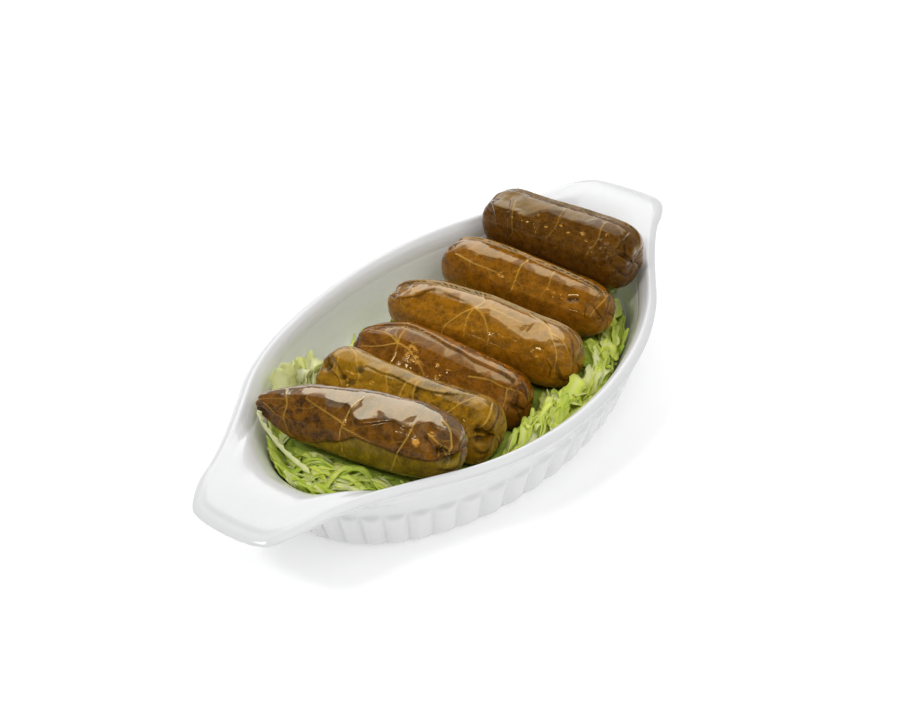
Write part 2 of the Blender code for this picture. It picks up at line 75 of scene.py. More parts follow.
# Each row: half length, half width, inset from the rim, reach to the rim's outline, height at the
# sides, height at the tips, share of the rib, and how nearly it is level with the rim on the tabs.
DISH_ROWS = (
    (0.0715, 0.0411, 0.0, 0.0, FOOT_RECESS, FOOT_RECESS, 0.0, 0.0),
    (0.0730, 0.0426, 0.0, 0.0, 0.0000, 0.0000, 0.0, 0.0),
    (0.0772, 0.0460, 0.0, 0.0, 0.0000, 0.0000, 0.0, 0.0),
    (0.0787, 0.0475, 0.0, 0.0, 0.0014, 0.0014, 0.6, 0.0),
    (0.0793, 0.0480, 0.0, 0.0, 0.0030, 0.0030, 1.0, 0.0),
    (0.0802, 0.0489, 0.0, 0.0, 0.0058, 0.0058, 1.0, 0.0),
    (0.0828, 0.0516, 0.0, 0.0, 0.0142, 0.0142, 1.0, 0.0),
    (0.0837, 0.0527, 0.0, 0.0, 0.0168, 0.0168, 0.0, 0.0),
    (0.0848, 0.0540, 0.0010, 0.04, 0.0198, 0.0212, 0.0, 0.0),
    (0.0860, 0.0555, 0.0012, 0.55, 0.0228, 0.0249, 0.0, 0.0),
    (0.0880, 0.0572, 0.0000, 1.00, 0.0247, 0.0279, 0.0, 0.0),
    (0.0880, 0.0572, 0.0008, 1.00, 0.0258, 0.0289, 0.0, 0.0),
    (0.0880, 0.0572, 0.0026, 1.00, 0.0266, 0.0296, 0.0, 0.0),
    (0.0880, 0.0572, 0.0045, 1.00, 0.0254, 0.0296, 0.0, 1.0),
    (0.0825, 0.0516, 0.0056, 0.93, 0.0235, 0.0295, 0.0, 1.0),
    (0.0820, 0.0507, 0.0060, 0.68, 0.0220, 0.0289, 0.0, 1.0),
    (0.0815, 0.0501, 0.0060, 0.36, 0.0206, 0.0271, 0.0, 0.45),
    (0.0805, 0.0490, 0.0060, 0.14, 0.0176, 0.0226, 0.0, 0.05),
    (0.0800, 0.0478, 0.0060, 0.05, 0.0146, 0.0195, 0.0, 0.0),
    (0.0795, 0.0466, 0.0, 0.0, 0.0118, 0.0156, 0.0, 0.0),
    (0.0765, 0.0448, 0.0, 0.0, 0.0092, 0.0103, 0.0, 0.0),
    (0.0725, 0.0420, 0.0, 0.0, 0.0069, 0.0069, 0.0, 0.0),
    (0.0660, 0.0375, 0.0, 0.0, 0.0052, 0.0052, 0.0, 0.0),
)

# The rolls, as in the part's source.
Roll = namedtuple("Roll", "back front width girth fullness seam")
ROLLS = {
    "dolma_1": Roll(
        (-0.0634, 0.0328, 0.0286), (-0.0512, -0.0388, 0.0316),
        0.0212, (0.48, 0.84, 0.98, 1.02, 0.90), (0.25, 0.80), -18,
    ),
    "dolma_2": Roll(
        (-0.0352, 0.0278, 0.0248), (-0.0318, -0.0380, 0.0238),
        0.0214, (1.08, 0.88, 0.82, 0.91, 1.08), (0.70, 0.85), 62,
    ),
    "dolma_3": Roll(
        (-0.0143, 0.0312, 0.0232), (-0.0097, -0.0345, 0.0180),
        0.0210, (0.76, 1.10, 1.06, 0.97, 0.94), (0.40, 0.85), 75,
    ),
    "dolma_4": Roll(
        (0.0113, 0.0355, 0.0240), (0.0133, -0.0392, 0.0240),
        0.0218, (0.74, 1.00, 1.04, 0.94, 0.97), (0.75, 0.85), 58,
    ),
    "dolma_5": Roll(
        (0.0426, 0.0335, 0.0250), (0.0405, -0.0346, 0.0250),
        0.0204, (0.98, 1.00, 0.96, 0.93, 0.90), (0.70, 0.85), 50,
    ),
    "dolma_6": Roll(
        (0.0652, 0.0300, 0.0338), (0.0616, -0.0325, 0.0345),
        0.0232, (0.94, 0.92, 0.94, 0.98, 1.00), (0.80, 0.85), 66,
    ),
}
ROLL_FLATNESS = 0.95
ROLL_SQUARENESS = 2.4
ROLL_END_ROUNDNESS = 2.3
LEAF_STEP = 0.0009
TUCK_DEPTH = 0.0014
LUMP_SHARE = 0.022
LUMP_ORDERS = (1, 2, 3)
LUMP_WAVES_ALONG = (2.1, 4.3)

# How finely the leaf is modelled, the depth of what lies on it, and in degrees how its flatter top
# is turned, how far that may lean and reach, and how soft and uneven the edge of the oil is.
LEAF_STATIONS = 300
LEAF_TOP_SIDES = 108
LEAF_UNDER_SIDES = 44
LEAF_TOP_FROM = math.radians(-45)
LEAF_TOP_TO = math.radians(150)
VEIN_HEIGHT = 0.00022
VEIN_WIDTH = 0.00020
BRANCH_EVERY = 0.0044
BRANCH_STRENGTH = 0.34
CREASE_DEPTH = 0.00026
FOLD_STEP = 0.00045
FOLD_FADE = 0.0035
# Width of the painted shade drawn along each fold.
FOLD_SHADE_WIDTH = 0.0003
PATCH_HEIGHT = 0.00012
PLEAT_DEPTH = 0.0004
EDGE_SOFTNESS = 0.00045
FACET_TURN = 66.0
FACET_LEAN = 17.0
FACET_MOST = 28.0
OIL_EDGE = 5.0
OIL_STREAKS = 14.0

# What the leaf of each roll looks like: its lighter, darker and flank colours, how wrinkled and how
# oily it is, its overlapping edge, the bend where its flatter and shiny top begins, and its rows of
# veins, folds, dents and pale patches. A vein is a strength and a line, a dent is a station, a turn,
# a depth and a size, and a patch is a station, a turn and a size. A dent below 0 is a bulge.
Leaf = namedtuple("Leaf", "light dark flank wrinkle oil edge shine veins folds dents patches")
LEAVES = {
    "dolma_1": Leaf(
        light=(0.230, 0.086, 0.002), dark=(0.034, 0.013, 0.001), flank=(0.290, 0.195, 0.003),
        wrinkle=0.8, oil=1.00,
        edge=((-1, -30), (-0.6, -24), (-0.38, -17), (-0.07, 3), (0.13, 19), (0.3, 16), (0.67, 8), (1, 8)),
        shine=(
            (-1, 84), (-0.32, 84), (-0.02, 74), (0.08, 58), (0.16, 54),
            (0.3, 60), (0.48, 66), (0.62, 60), (0.76, 86), (1, 88),
        ),
        veins=(
            (1.0, ((0.08, 92), (0.04, 67), (0.03, 49), (0.01, 30), (0.0, 4), (0.02, -26))),
            (0.8, ((0.01, 41), (-0.11, 50), (-0.26, 62), (-0.42, 76))),
            (0.7, ((0.03, 33), (0.16, 27), (0.30, 19))),
            (0.9, ((0.63, 70), (0.62, 50), (0.59, 31), (0.51, 1), (0.45, -26))),
            (0.8, ((-0.68, 97), (-0.60, 60), (-0.57, 18), (-0.50, -14))),
            (0.6, ((-0.86, 44), (-0.69, 22), (-0.57, 18))),
            (0.6, ((-0.93, 60), (-0.80, 66), (-0.62, 70))),
            (1.0, ((0.80, 94), (0.90, 84), (0.955, 52), (0.965, 12))),
            (1.0, ((0.76, 62), (0.86, 50), (0.93, 44), (0.975, 36))),
            (0.9, ((0.90, 46), (0.885, 15))),
            (0.8, ((0.92, 46), (0.96, -4))),
        ),
        folds=(
            ((-0.34, 88), (-0.13, 75), (0.01, 73), (0.14, 46), (0.26, 51), (0.45, 64), (0.6, 58), (0.76, 88)),
            ((0.72, 58), (0.82, 40), (0.86, 10)),
        ),
        dents=((0.90, 30, 0.0034, 0.0026), (0.96, 4, 0.0030, 0.0024), (-0.86, -6, 0.0020, 0.0034)),
        patches=((0.70, 40, 0.0014), (0.80, 62, 0.0012), (0.03, 40, 0.0008)),
    ),
    "dolma_2": Leaf(
        light=(0.400, 0.195, 0.004), dark=(0.046, 0.020, 0.001), flank=(0.230, 0.145, 0.004),
        wrinkle=1.3, oil=0.20,
        edge=((-1, -60), (0, -55), (1, -60)),
        shine=((-1, 96), (-0.61, 90), (-0.2, 84), (0.17, 82), (0.5, 92), (0.73, 96), (1, 80)),
        veins=(
            (1.0, ((0.0, 84), (0.0, 64), (0.01, 44))),
            (1.0, ((0.10, 90), (0.13, 66), (0.17, 44))),
            (1.0, ((0.36, 18), (0.47, 38), (0.58, 67), (0.73, 107))),
            (0.8, ((-0.80, 114), (-0.61, 91), (-0.48, 63), (-0.46, 40))),
            (0.9, ((0.86, 110), (0.92, 80), (0.93, 45), (0.90, 10))),
            (0.6, ((-0.24, 88), (-0.15, 60), (-0.13, 40))),
            (0.6, ((-0.76, 80), (-0.70, 52), (-0.60, 30))),
        ),
        folds=(
            ((-0.61, 93), (-0.30, 84), (-0.15, 87), (0.17, 81), (0.44, 88), (0.73, 104)),
            ((-0.95, 90), (-0.72, 66), (-0.52, 30)),
            ((-0.90, 60), (-0.66, 40), (-0.56, 5)),
        ),
        dents=(
            (0.94, 42, 0.0040, 0.0024), (0.95, 16, 0.0034, 0.0024), (-0.86, 62, 0.0022, 0.0026),
            (-0.62, 48, 0.0014, 0.0018), (-0.50, 78, 0.0010, 0.0022),
        ),
        patches=((-0.32, 58, 0.0010), (0.26, 40, 0.0009), (-0.55, 62, 0.0008)),
    ),
    "dolma_3": Leaf(
        light=(0.370, 0.118, 0.002), dark=(0.044, 0.015, 0.001), flank=(0.260, 0.092, 0.002),
        wrinkle=0.7, oil=0.38,
        edge=((-1, 100), (-0.59, 101), (-0.34, 107), (0.01, 96), (0.35, 95), (1, 92)),
        shine=((-1, 92), (-0.5, 94), (0.0, 90), (0.4, 96), (1, 88)),
        veins=(
            (1.0, ((-0.42, 71), (-0.53, 78), (-0.63, 84), (-0.83, 89))),
            (0.9, ((-0.42, 71), (-0.63, 52), (-0.78, 38), (-0.89, 25))),
            (0.9, ((-0.42, 71), (-0.45, 90), (-0.47, 112))),
            (0.8, ((-0.42, 71), (-0.50, 84), (-0.55, 98))),
            (1.0, ((-0.42, 71), (-0.30, 68), (-0.22, 61), (-0.06, 39), (0.02, 20))),
            (0.6, ((-0.42, 71), (-0.40, 45), (-0.42, 15))),
            (0.7, ((0.40, 66), (0.58, 75), (0.77, 75), (0.93, 84))),
            (0.6, ((0.80, 74), (0.84, 45), (0.83, 10))),
        ),
        folds=(((0.86, 100), (0.90, 60), (0.88, 15)),),
        dents=((0.95, 40, 0.0014, 0.0022),),
        patches=(
            (-0.27, 66, 0.0026), (-0.20, 58, 0.0022), (-0.14, 50, 0.0016),
            (0.06, 62, 0.0009), (0.14, 44, 0.0011), (0.19, 58, 0.0009), (0.11, 36, 0.0010),
        ),
    ),
    "dolma_4": Leaf(
        light=(0.390, 0.160, 0.002), dark=(0.064, 0.026, 0.001), flank=(0.420, 0.165, 0.002),
        wrinkle=0.45, oil=0.52,
        edge=((-1, 96), (-0.4, 108), (0.0, 118), (1, 116)),
        shine=(
            (-1, 44), (-0.85, 46), (-0.6, 76), (-0.5, 90), (-0.2, 84),
            (0.0, 78), (0.25, 70), (0.54, 54), (0.7, 60), (1, 80),
        ),
        veins=(
            (1.0, ((-0.03, 79), (-0.10, 68), (-0.15, 52), (-0.22, 22), (-0.24, 0))),
            (0.9, ((-0.03, 79), (-0.05, 60), (-0.03, 43), (0.0, 16))),
            (0.9, ((-0.03, 79), (0.06, 74), (0.13, 63), (0.22, 37), (0.24, 14))),
            (0.9, ((-0.03, 79), (0.0, 92), (-0.04, 106), (-0.12, 122))),
            (0.8, ((-0.03, 79), (0.13, 89), (0.46, 84))),
            (1.0, ((0.42, 116), (0.60, 102), (0.73, 85), (0.87, 50), (0.89, 8))),
            (0.8, ((0.73, 85), (0.84, 84), (0.91, 75), (0.96, 64))),
            (0.6, ((-0.70, 84), (-0.76, 60), (-0.74, 30))),
        ),
        folds=(
            ((-0.88, 40), (-0.64, 60), (-0.5, 88), (-0.29, 86), (-0.02, 84)),
            ((0.80, 30), (0.86, 14), (0.84, -12)),
        ),
        dents=((-0.90, 50, 0.0012, 0.0018),),
        patches=((0.66, 34, 0.0009), (0.72, 28, 0.0008)),
    ),
    "dolma_5": Leaf(
        light=(0.430, 0.158, 0.002), dark=(0.056, 0.022, 0.001), flank=(0.340, 0.125, 0.002),
        wrinkle=0.55, oil=0.42,
        edge=((-1, 112), (0.0, 112), (0.6, 104), (1, 96)),
        shine=((-1, 62), (-0.85, 66), (-0.4, 78), (0.02, 86), (0.5, 90), (1, 84)),
        veins=(
            (1.0, ((-0.75, 53), (-0.62, 50), (-0.50, 46), (-0.32, 47), (-0.17, 46))),
            (1.0, ((-0.04, 106), (-0.01, 64), (0.02, 20))),
            (0.6, ((0.30, 100), (0.36, 66), (0.34, 30))),
            (0.7, ((0.92, 118), (0.93, 70), (0.90, 22))),
        ),
        folds=(
            ((0.86, 120), (0.88, 80), (0.84, 44), (0.86, 10)),
            ((-0.92, 90), (-0.86, 60), (-0.88, 20)),
        ),
        dents=((-0.90, 66, 0.0016, 0.0018), (0.64, 50, 0.0007, 0.0016), (0.70, 58, 0.0006, 0.0014)),
        patches=(
            (-0.16, 45, 0.0014), (0.38, 52, 0.0007), (0.45, 50, 0.0008), (0.52, 52, 0.0007),
            (0.46, 40, 0.0006), (0.56, 44, 0.0006), (0.67, 50, 0.0011),
        ),
    ),
    "dolma_6": Leaf(
        light=(0.170, 0.056, 0.001), dark=(0.022, 0.008, 0.001), flank=(0.160, 0.060, 0.002),
        wrinkle=1.6, oil=0.16,
        edge=((-1, 120), (1, 120)),
        shine=((-1, 60), (-0.7, 50), (-0.3, 62), (0.0, 92), (0.6, 94), (1, 84)),
        veins=(
            (0.5, ((-0.60, 84), (-0.50, 50), (-0.42, 10))),
            (0.4, ((0.0, 100), (0.06, 60), (0.02, 20))),
            (0.5, ((0.55, 96), (0.62, 60), (0.58, 20))),
        ),
        folds=(
            ((-0.72, 96), (-0.56, 52), (-0.50, 12), (-0.56, -10)),
            ((-0.92, 70), (-0.72, 38), (-0.66, 4)),
            ((0.84, 110), (0.88, 60), (0.86, 10)),
        ),
        dents=(
            (-0.68, 50, -0.0012, 0.0040), (-0.36, 40, -0.0008, 0.0026), (0.76, 50, -0.0009, 0.0018),
            (0.84, 34, -0.0009, 0.0018), (0.86, 4, -0.0008, 0.0018), (0.95, 50, 0.0012, 0.0020),
            (0.66, 58, -0.0006, 0.0009), (0.72, 40, -0.0007, 0.0009), (0.80, 22, -0.0008, 0.0010),
            (0.70, 18, -0.0007, 0.0009), (0.60, 34, -0.0005, 0.0008), (-0.46, 55, -0.0006, 0.0012),
            (-0.54, 42, -0.0007, 0.0013), (-0.40, 50, -0.0006, 0.0010),
        ),
        patches=(
            (-0.06, 48, 0.0009), (0.11, 64, 0.0010), (0.24, 52, 0.0006), (0.41, 62, 0.0010),
            (0.50, 48, 0.0006), (0.69, 74, 0.0009), (-0.20, 66, 0.0008),
        ),
    ),
}

# The lettuce bed, as in the part's source, and the loose shreds on it.
HEAP_BOWL = (
    (0.0001, 0.0001, 0.0050, 0.0050),
    (0.0660, 0.0375, 0.0052, 0.0052),
    (0.0725, 0.0420, 0.0069, 0.0069),
    (0.0765, 0.0448, 0.0092, 0.0103),
    (0.0795, 0.0466, 0.0118, 0.0156),
    (0.0806, 0.0477, 0.0146, 0.0180),
    (0.0817, 0.0488, 0.0176, 0.0200),
)
HEAP_CLEARANCE = 0.0005
BED_HEIGHT = 0.0142
BED_SPOKES = 120
BED_RINGS = 30
BED_ROOM = 0.0012
BED_RIPPLE = 0.0004
HEAP_EDGE = 0.0008
HEAP_HALF_LENGTH = 0.0806
BARE_BACK_WALL = 0.0110
BARE_FAR_END = 0.0060
EDGE_WAVES = 5
EDGE_WAVE_DEPTH = 0.0008
Mound = namedtuple("Mound", "middle reach height")
HEAP_MOUNDS = (
    Mound((-0.066, 0.000), (0.026, 0.060), 0.0042),
    Mound((0.070, 0.000), (0.022, 0.060), 0.0056),
    Mound((-0.044, 0.043), (0.016, 0.012), 0.0060),
    Mound((0.008, -0.044), (0.034, 0.009), 0.0026),
)
# A patch of shreds: its middle, half its length and width, heading in degrees, how far above the
# bed they lie, how many, their widths, their lengths, and how green they are from 0 to 1.
SHRED_PATCHES = (
    ((-0.070, 0.004), (0.012, 0.030), 112, (0, 0.0052), 105, (0.0016, 0.0034), (0.024, 0.046), (0.05, 0.85)),
    ((0.004, -0.0425), (0.042, 0.006), 18, (0, 0.0050), 90, (0.0020, 0.0055), (0.014, 0.032), (0.05, 0.75)),
    ((-0.043, 0.0415), (0.014, 0.007), 25, (0.001, 0.006), 30, (0.0030, 0.0080), (0.016, 0.032), (0, 0.18)),
    ((0.040, -0.0330), (0.020, 0.009), 50, (0, 0.0040), 50, (0.0024, 0.0056), (0.010, 0.024), (0.25, 0.95)),
    ((0.028, 0.0000), (0.005, 0.030), 85, (0, 0.0020), 20, (0.0016, 0.0036), (0.012, 0.024), (0.30, 0.90)),
    ((0.030, 0.0320), (0.034, 0.006), 10, (0, 0.0010), 16, (0.0016, 0.0036), (0.010, 0.022), (0.20, 0.70)),
    ((0.072, 0.0000), (0.006, 0.030), 90, (0, 0.0015), 24, (0.0018, 0.0040), (0.010, 0.022), (0.30, 0.90)),
    ((-0.012, 0.0270), (0.030, 0.008), 20, (0, 0.0003), 45, (0.0012, 0.0020), (0.012, 0.024), (0.15, 0.85)),
    ((0.000, -0.008), (0.050, 0.024), 88, (0, 0.0010), 60, (0.0016, 0.0032), (0.012, 0.026), (0.20, 0.90)),
)
# A long shred with a given path: the middles of its ends and bends, its width and how green it is.
Blade = namedtuple("Blade", "line width green")
BLADES = (
    Blade(
        ((-0.0722, 0.0236, 0.0345), (-0.0732, 0.0212, 0.0315), (-0.0728, 0.0188, 0.0275),
         (-0.0726, 0.0150, 0.0235), (-0.0738, 0.0087, 0.0220), (-0.0752, 0.0018, 0.0215)), 0.0024, 0.04,
    ),
    Blade(((-0.0520, 0.0312, 0.0200), (-0.0500, 0.0340, 0.0245), (-0.0480, 0.0362, 0.0305)), 0.0060, 0.06),
    Blade(((-0.0470, 0.0345, 0.0190), (-0.0455, 0.0362, 0.0245), (-0.0436, 0.0370, 0.0295)), 0.0070, 0.04),
    Blade(((-0.0430, 0.0350, 0.0185), (-0.0405, 0.0362, 0.0230), (-0.0385, 0.0380, 0.0270)), 0.0060, 0.16),
    Blade(
        ((-0.0570, 0.0300, 0.0195), (-0.0530, 0.0330, 0.0215), (-0.0480, 0.0360, 0.0220),
         (-0.0430, 0.0375, 0.0205)), 0.0045, 0.12,
    ),
)
SHRED_SEED = 23
SHRED_THICKNESS = 0.00045
SHRED_SECTION = 0.0014
SHRED_COLUMNS = 5
SHRED_FEWEST_SECTIONS = 7
TRIES_PER_SHRED = 10
# How far a shred may turn from its patch's heading in degrees, how far it bends per metre and sways
# in radians, how far it leans and twists per metre in radians, and how deep its edges are crimped.
SHRED_TURN = 30
SHRED_CURL = 14
SHRED_SWAY = 0.14
SHRED_TILT = 0.9
SHRED_TWIST = 32
SHRED_CRIMP = 0.0004
# How far a shred's middle line and its skin stay from the rolls and from the dish.
PATH_OFF_ROLLS = 0.0008
PATH_OFF_BOWL = 0.0010
SKIN_OFF_ROLLS = 0.0007
SKIN_OFF_BOWL = 0.0005

# The camera's place is given as the photograph shows it: turned about Z, raised and rolled, at a
# distance from the origin, with the origin shown a little off the middle of the frame.
PHOTO_WIDTH = 898
CAMERA_AZIMUTH = math.radians(-53.7)
CAMERA_ELEVATION = math.radians(36.0)
CAMERA_ROLL = math.radians(-2.0)
CAMERA_DISTANCE = 0.5357
CAMERA_OFFSET = (0.0033, -0.0160)
FOCAL_PIXELS = 1570
SENSOR_WIDTH = 36.0

# Soft lights: name, direction, distance, width and height, power in watts, spin in degrees. The
# world lights all of it evenly as well, and the floor glows a little.
WORLD_STRENGTH = 0.35
LIGHTS = (
    ("back_panel", (0.58, 0.48, 0.66), 0.9, (0.86, 0.95), 4.1, 29),
    ("left_key", (-0.62, 0.20, 0.76), 0.9, (0.12, 0.12), 1.6, 0),
    ("front_fill", (-0.05, -0.52, 0.85), 1.0, (1.00, 0.80), 3.2, 0),
)
FLOOR_GLOW = 0.26
FLOOR_REACH = 3.0
FLOOR_WHITE = (0.90, 0.90, 0.90)

GLAZE_DULL = (0.84, 0.843, 0.850)
GLAZE_BRIGHT = (0.86, 0.862, 0.867)
GLAZE_CREST = (0.87, 0.858, 0.84)
VEIN_GOLD = (0.84, 0.50, 0.08)
RUBBED_GOLD = (0.80, 0.40, 0.07)
# Near black, painted as shade into the folds, the dents, the pleats at the ends and along the seam.
PAINTED_FOLD_SHADE = (0.012, 0.006, 0.003)
LETTUCE_WHITE = (0.98, 0.98, 0.62)
LETTUCE_YELLOW = (0.86, 0.97, 0.10)
LETTUCE_GREEN = (0.42, 0.66, 0.02)
LETTUCE_RIB = (0.93, 0.94, 0.72)
LETTUCE_CLOUD = (0.95, 0.98, 0.32)
# Painted shade: the lettuce bed under the shreds is mixed towards this darker green, keeping only the share
# below of its own colour.
LETTUCE_PAINTED_SHADE = (0.10, 0.20, 0.02)
BED_LIT_SHARE = 0.45


def smooth_step(value):
    held = np.clip(value, 0.0, 1.0)
    return held * held * (3.0 - 2.0 * held)


def mesh_object(name, points, faces):
    mesh = bpy.data.meshes.new(name)
    mesh.from_pydata(points, [], faces)
    mesh.shade_smooth()
    thing = bpy.data.objects.new(name, mesh)
    bpy.context.scene.collection.objects.link(thing)
    return thing


def ring_faces(start, rows, count):
    """Faces between neighbouring rings of equally many points, numbered from start."""
    row, column = np.meshgrid(np.arange(rows - 1), np.arange(count), indexing="ij")
    after = (column + 1) % count
    low, high = start + row * count, start + (row + 1) * count
    return np.stack((low + column, low + after, high + after, high + column), axis=-1).reshape(-1, 4).tolist()


def tube_object(name, rings, first_middle, last_middle):
    """A closed skin through rings of equally many points, its two ends closed on middle points."""
    rows, count = rings.shape[:2]
    points = np.concatenate([rings.reshape(-1, 3), [first_middle], [last_middle]])
    first, last = rows * count, rows * count + 1
    start = (rows - 1) * count
    caps = [(first, (index + 1) % count, index) for index in range(count)]
    caps += [(last, start + index, start + (index + 1) % count) for index in range(count)]
    return mesh_object(name, points.tolist(), ring_faces(0, rows, count) + caps)


def point_values(thing, name, values):
    """Keeps one number, or one place, for each point, for the material to read."""
    kind = "FLOAT" if values.ndim == 1 else "FLOAT_VECTOR"
    layer = thing.data.attributes.new(name, kind, "POINT")
    field = "value" if values.ndim == 1 else "vector"
    layer.data.foreach_set(field, values.astype(np.float32).ravel())


def bezier(start, first, second, end, count):
    share = np.linspace(0.0, 1.0, count)[:, None]
    rest = 1.0 - share
    corners = [np.array(point) for point in (start, first, second, end)]
    weights = (rest**3, 3 * rest**2 * share, 3 * rest * share**2, share**3)
    return sum(weight * corner for weight, corner in zip(weights, corners))


def tab_outline():
    """Quarter of a tab handle's outline, from where it leaves the rim's oval to the tip."""
    half_length, half_width = RIM_OVAL
    start_y = half_width * math.sqrt(1 - (TAB_STARTS_AT / half_length) ** 2)
    slope = -(half_width**2) * TAB_STARTS_AT / (half_length**2 * start_y)
    start = (TAB_STARTS_AT, start_y)
    leaving = (TAB_STARTS_AT + TAB_LEAD, start_y + TAB_LEAD * slope)
    sweep = bezier(start, leaving, TAB_SWEEP_PULL, TAB_SHOULDER, 80)
    corner = bezier(TAB_SHOULDER, *TAB_CORNER_PULLS, TAB_CORNER, 40)
    tip = bezier(TAB_CORNER, *TAB_TIP_PULLS, (HALF_LENGTH, 0.0), 40)
    return np.concatenate([sweep, corner[1:], tip[1:]])


def rim_outline(turns):
    """The rim's outer edge for an array of oval parameters, and its outward normals."""
    outline = tab_outline()
    steps = np.linalg.norm(np.diff(outline, axis=0), axis=1)
    reached = np.concatenate([[0.0], np.cumsum(steps)]) / steps.sum()

    def edge(values):
        quarter = np.arctan2(np.abs(np.sin(values)), np.abs(np.cos(values)))
        leave = math.acos(TAB_STARTS_AT / RIM_OVAL[0])
        share = np.clip(1.0 - quarter / leave, 0.0, 1.0)
        on_tab = np.stack([np.interp(share, reached, outline[:, axis]) for axis in (0, 1)], axis=1)
        on_oval = np.stack([RIM_OVAL[0] * np.cos(quarter), RIM_OVAL[1] * np.sin(quarter)], axis=1)
        points = np.where((quarter < leave)[:, None], on_tab, on_oval)
        return points * np.sign(np.stack([np.cos(values), np.sin(values)], axis=1))

    along = edge(turns + RIM_NUDGE) - edge(turns - RIM_NUDGE)
    normals = np.stack([along[:, 1], -along[:, 0]], axis=1)
    return edge(turns), normals / np.linalg.norm(normals, axis=1)[:, None]


def smooth_rows(rows, steps):
    """More rows between the given ones, on curves that never swing past them."""
    knots = np.array(rows)
    change = np.diff(knots, axis=0)
    before, after = change[:-1], change[1:]
    total = before + after
    same_way = before * after > 0
    middle = np.where(same_way, 2 * before * after / np.where(same_way, total, 1.0), 0.0)
    slopes = np.vstack([change[:1], middle, change[-1:]])
    share = (np.arange(steps) / steps)[:, None]
    fine = []
    for index in range(len(knots) - 1):
        start, end = knots[index], knots[index + 1]
        eased = share**2 * (3 - 2 * share)
        leave, arrive = share * (1 - share) ** 2, share**2 * (1 - share)
        fine.append(start + (end - start) * eased + slopes[index] * leave - slopes[index + 1] * arrive)
    return np.vstack(fine + [knots[-1:]])


def rim_height(toward_tip):
    side_height, tip_height = RIM_HEIGHTS
    return side_height + (tip_height - side_height) * toward_tip + RIM_SWELL * (toward_tip - toward_tip**3)


def dish_ring(row, turns, edge, normals):
    half_length, half_width, inset, reach, side_height, tip_height, rib, tab = row
    around = np.stack([np.cos(turns), np.sin(turns)], axis=1)
    outward = around * (half_width, half_length)
    outward /= np.linalg.norm(outward, axis=1)[:, None]
    phase = (turns * RIBS / (2 * math.pi)) % 1.0
    crest = 1.0 - np.abs(2 * phase - 1.0) ** RIB_ROUNDNESS
    bulge = (RIB_DEPTH * rib * crest)[:, None]
    oval = around * (half_length, half_width) + outward * bulge
    flat = (1 - reach) * oval + reach * (edge - normals * inset)
    toward_tip = (edge[:, 0] / HALF_LENGTH) ** 2
    rise = smooth_step((toward_tip - TAB_RISE[0]) / (TAB_RISE[1] - TAB_RISE[0]))
    risen = toward_tip + tab * (rise - toward_tip)
    swell = RIM_SWELL * reach * (toward_tip - toward_tip**3)
    height = side_height + (tip_height - side_height) * risen + swell
    level = rim_height((flat[:, 0] / HALF_LENGTH) ** 2)
    return np.column_stack([flat, height + tab * rise * (level - height)]), rib * crest


def make_dish():
    count = RIBS * STEPS_PER_RIB
    turns = np.arange(count) * 2 * math.pi / count
    edge, normals = rim_outline(turns)
    made = [dish_ring(row, turns, edge, normals) for row in smooth_rows(DISH_ROWS, STEPS_PER_ROW)]
    rings = np.array([ring for ring, _ in made])
    dish = tube_object("dish_glazed", rings, (0, 0, FOOT_RECESS), (0, 0, FLOOR_HEIGHT))
    crests = np.concatenate([np.array([crest for _, crest in made]).ravel(), [0.0, 0.0]])
    point_values(dish, "crest", crests)
    return dish


@lru_cache(maxsize=None)
def roll_frame(roll):
    """Middle, direction, sideways and upward vectors, and half length of a roll."""
    back, front = np.array(roll.back), np.array(roll.front)
    half = np.linalg.norm(front - back) / 2
    axis = (front - back) / (2 * half)
    side = np.cross((0, 0, 1.0), axis)
    side /= np.linalg.norm(side)
    return (back + front) / 2, axis, side, np.cross(axis, side), half


def end_rounding(roll, station):
    """How full the roll is at a station: 1 along its body, falling to 0 at its ends."""
    fullness = np.where(station < 0, roll.fullness[0], roll.fullness[1])
    return np.maximum(0.0, 1.0 - np.abs(station) ** (2.0 + 7.0 * fullness)) ** (1.0 / ROLL_END_ROUNDNESS)


def roll_share(roll, station):
    girth = np.interp(station, np.linspace(-1.0, 1.0, len(roll.girth)), roll.girth)
    return end_rounding(roll, station) * girth


def lumps(seed, station, turn):
    """A gentle unevenness of the filling under the leaf, the same each time for one seed."""
    waves = random.Random(seed)
    total = 0.0
    for order in LUMP_ORDERS:
        for along in LUMP_WAVES_ALONG:
            phase = waves.uniform(0, 2 * math.pi)
            total += np.sin(order * turn + along * station + phase) / (order + 1)
    return LUMP_SHARE * total


def roll_points(roll, seed, station, turn, leaf):
    """Points on a roll for arrays of stations and turns, with the leaf that much thicker."""
    middle, axis, side, up, half = roll_frame(roll)
    half_width = roll.width / 2
    reach = roll_share(roll, station) * (1.0 + lumps(seed, station, turn))
    power = 2.0 / ROLL_SQUARENESS
    over = -np.sign(np.cos(turn)) * np.abs(np.cos(turn)) ** power
    above = np.sign(np.sin(turn)) * np.abs(np.sin(turn)) ** power
    sideways = over * (half_width * reach + leaf)
    upward = above * (half_width * ROLL_FLATNESS * reach + leaf)
    places = axis * (station * half)[..., None] + side * sideways[..., None] + up * upward[..., None]
    return middle + places


def soft_noise(station, turn, along, around, seed):
    """Smooth unevenness from -1 to 1 that joins up with itself round the roll."""
    grid = np.random.default_rng(seed).uniform(-1, 1, (along + 2, around))
    x = (station + 1) / 2 * along
    y = (turn / (2 * math.pi)) % 1.0 * around
    row, column = np.floor(x).astype(int), np.floor(y).astype(int)
    ease_x, ease_y = smooth_step(x - row), smooth_step(y - column)
    column, after = column % around, (column + 1) % around
    low = grid[row, column] * (1 - ease_y) + grid[row, after] * ease_y
    high = grid[row + 1, column] * (1 - ease_y) + grid[row + 1, after] * ease_y
    return low * (1 - ease_x) + high * ease_x


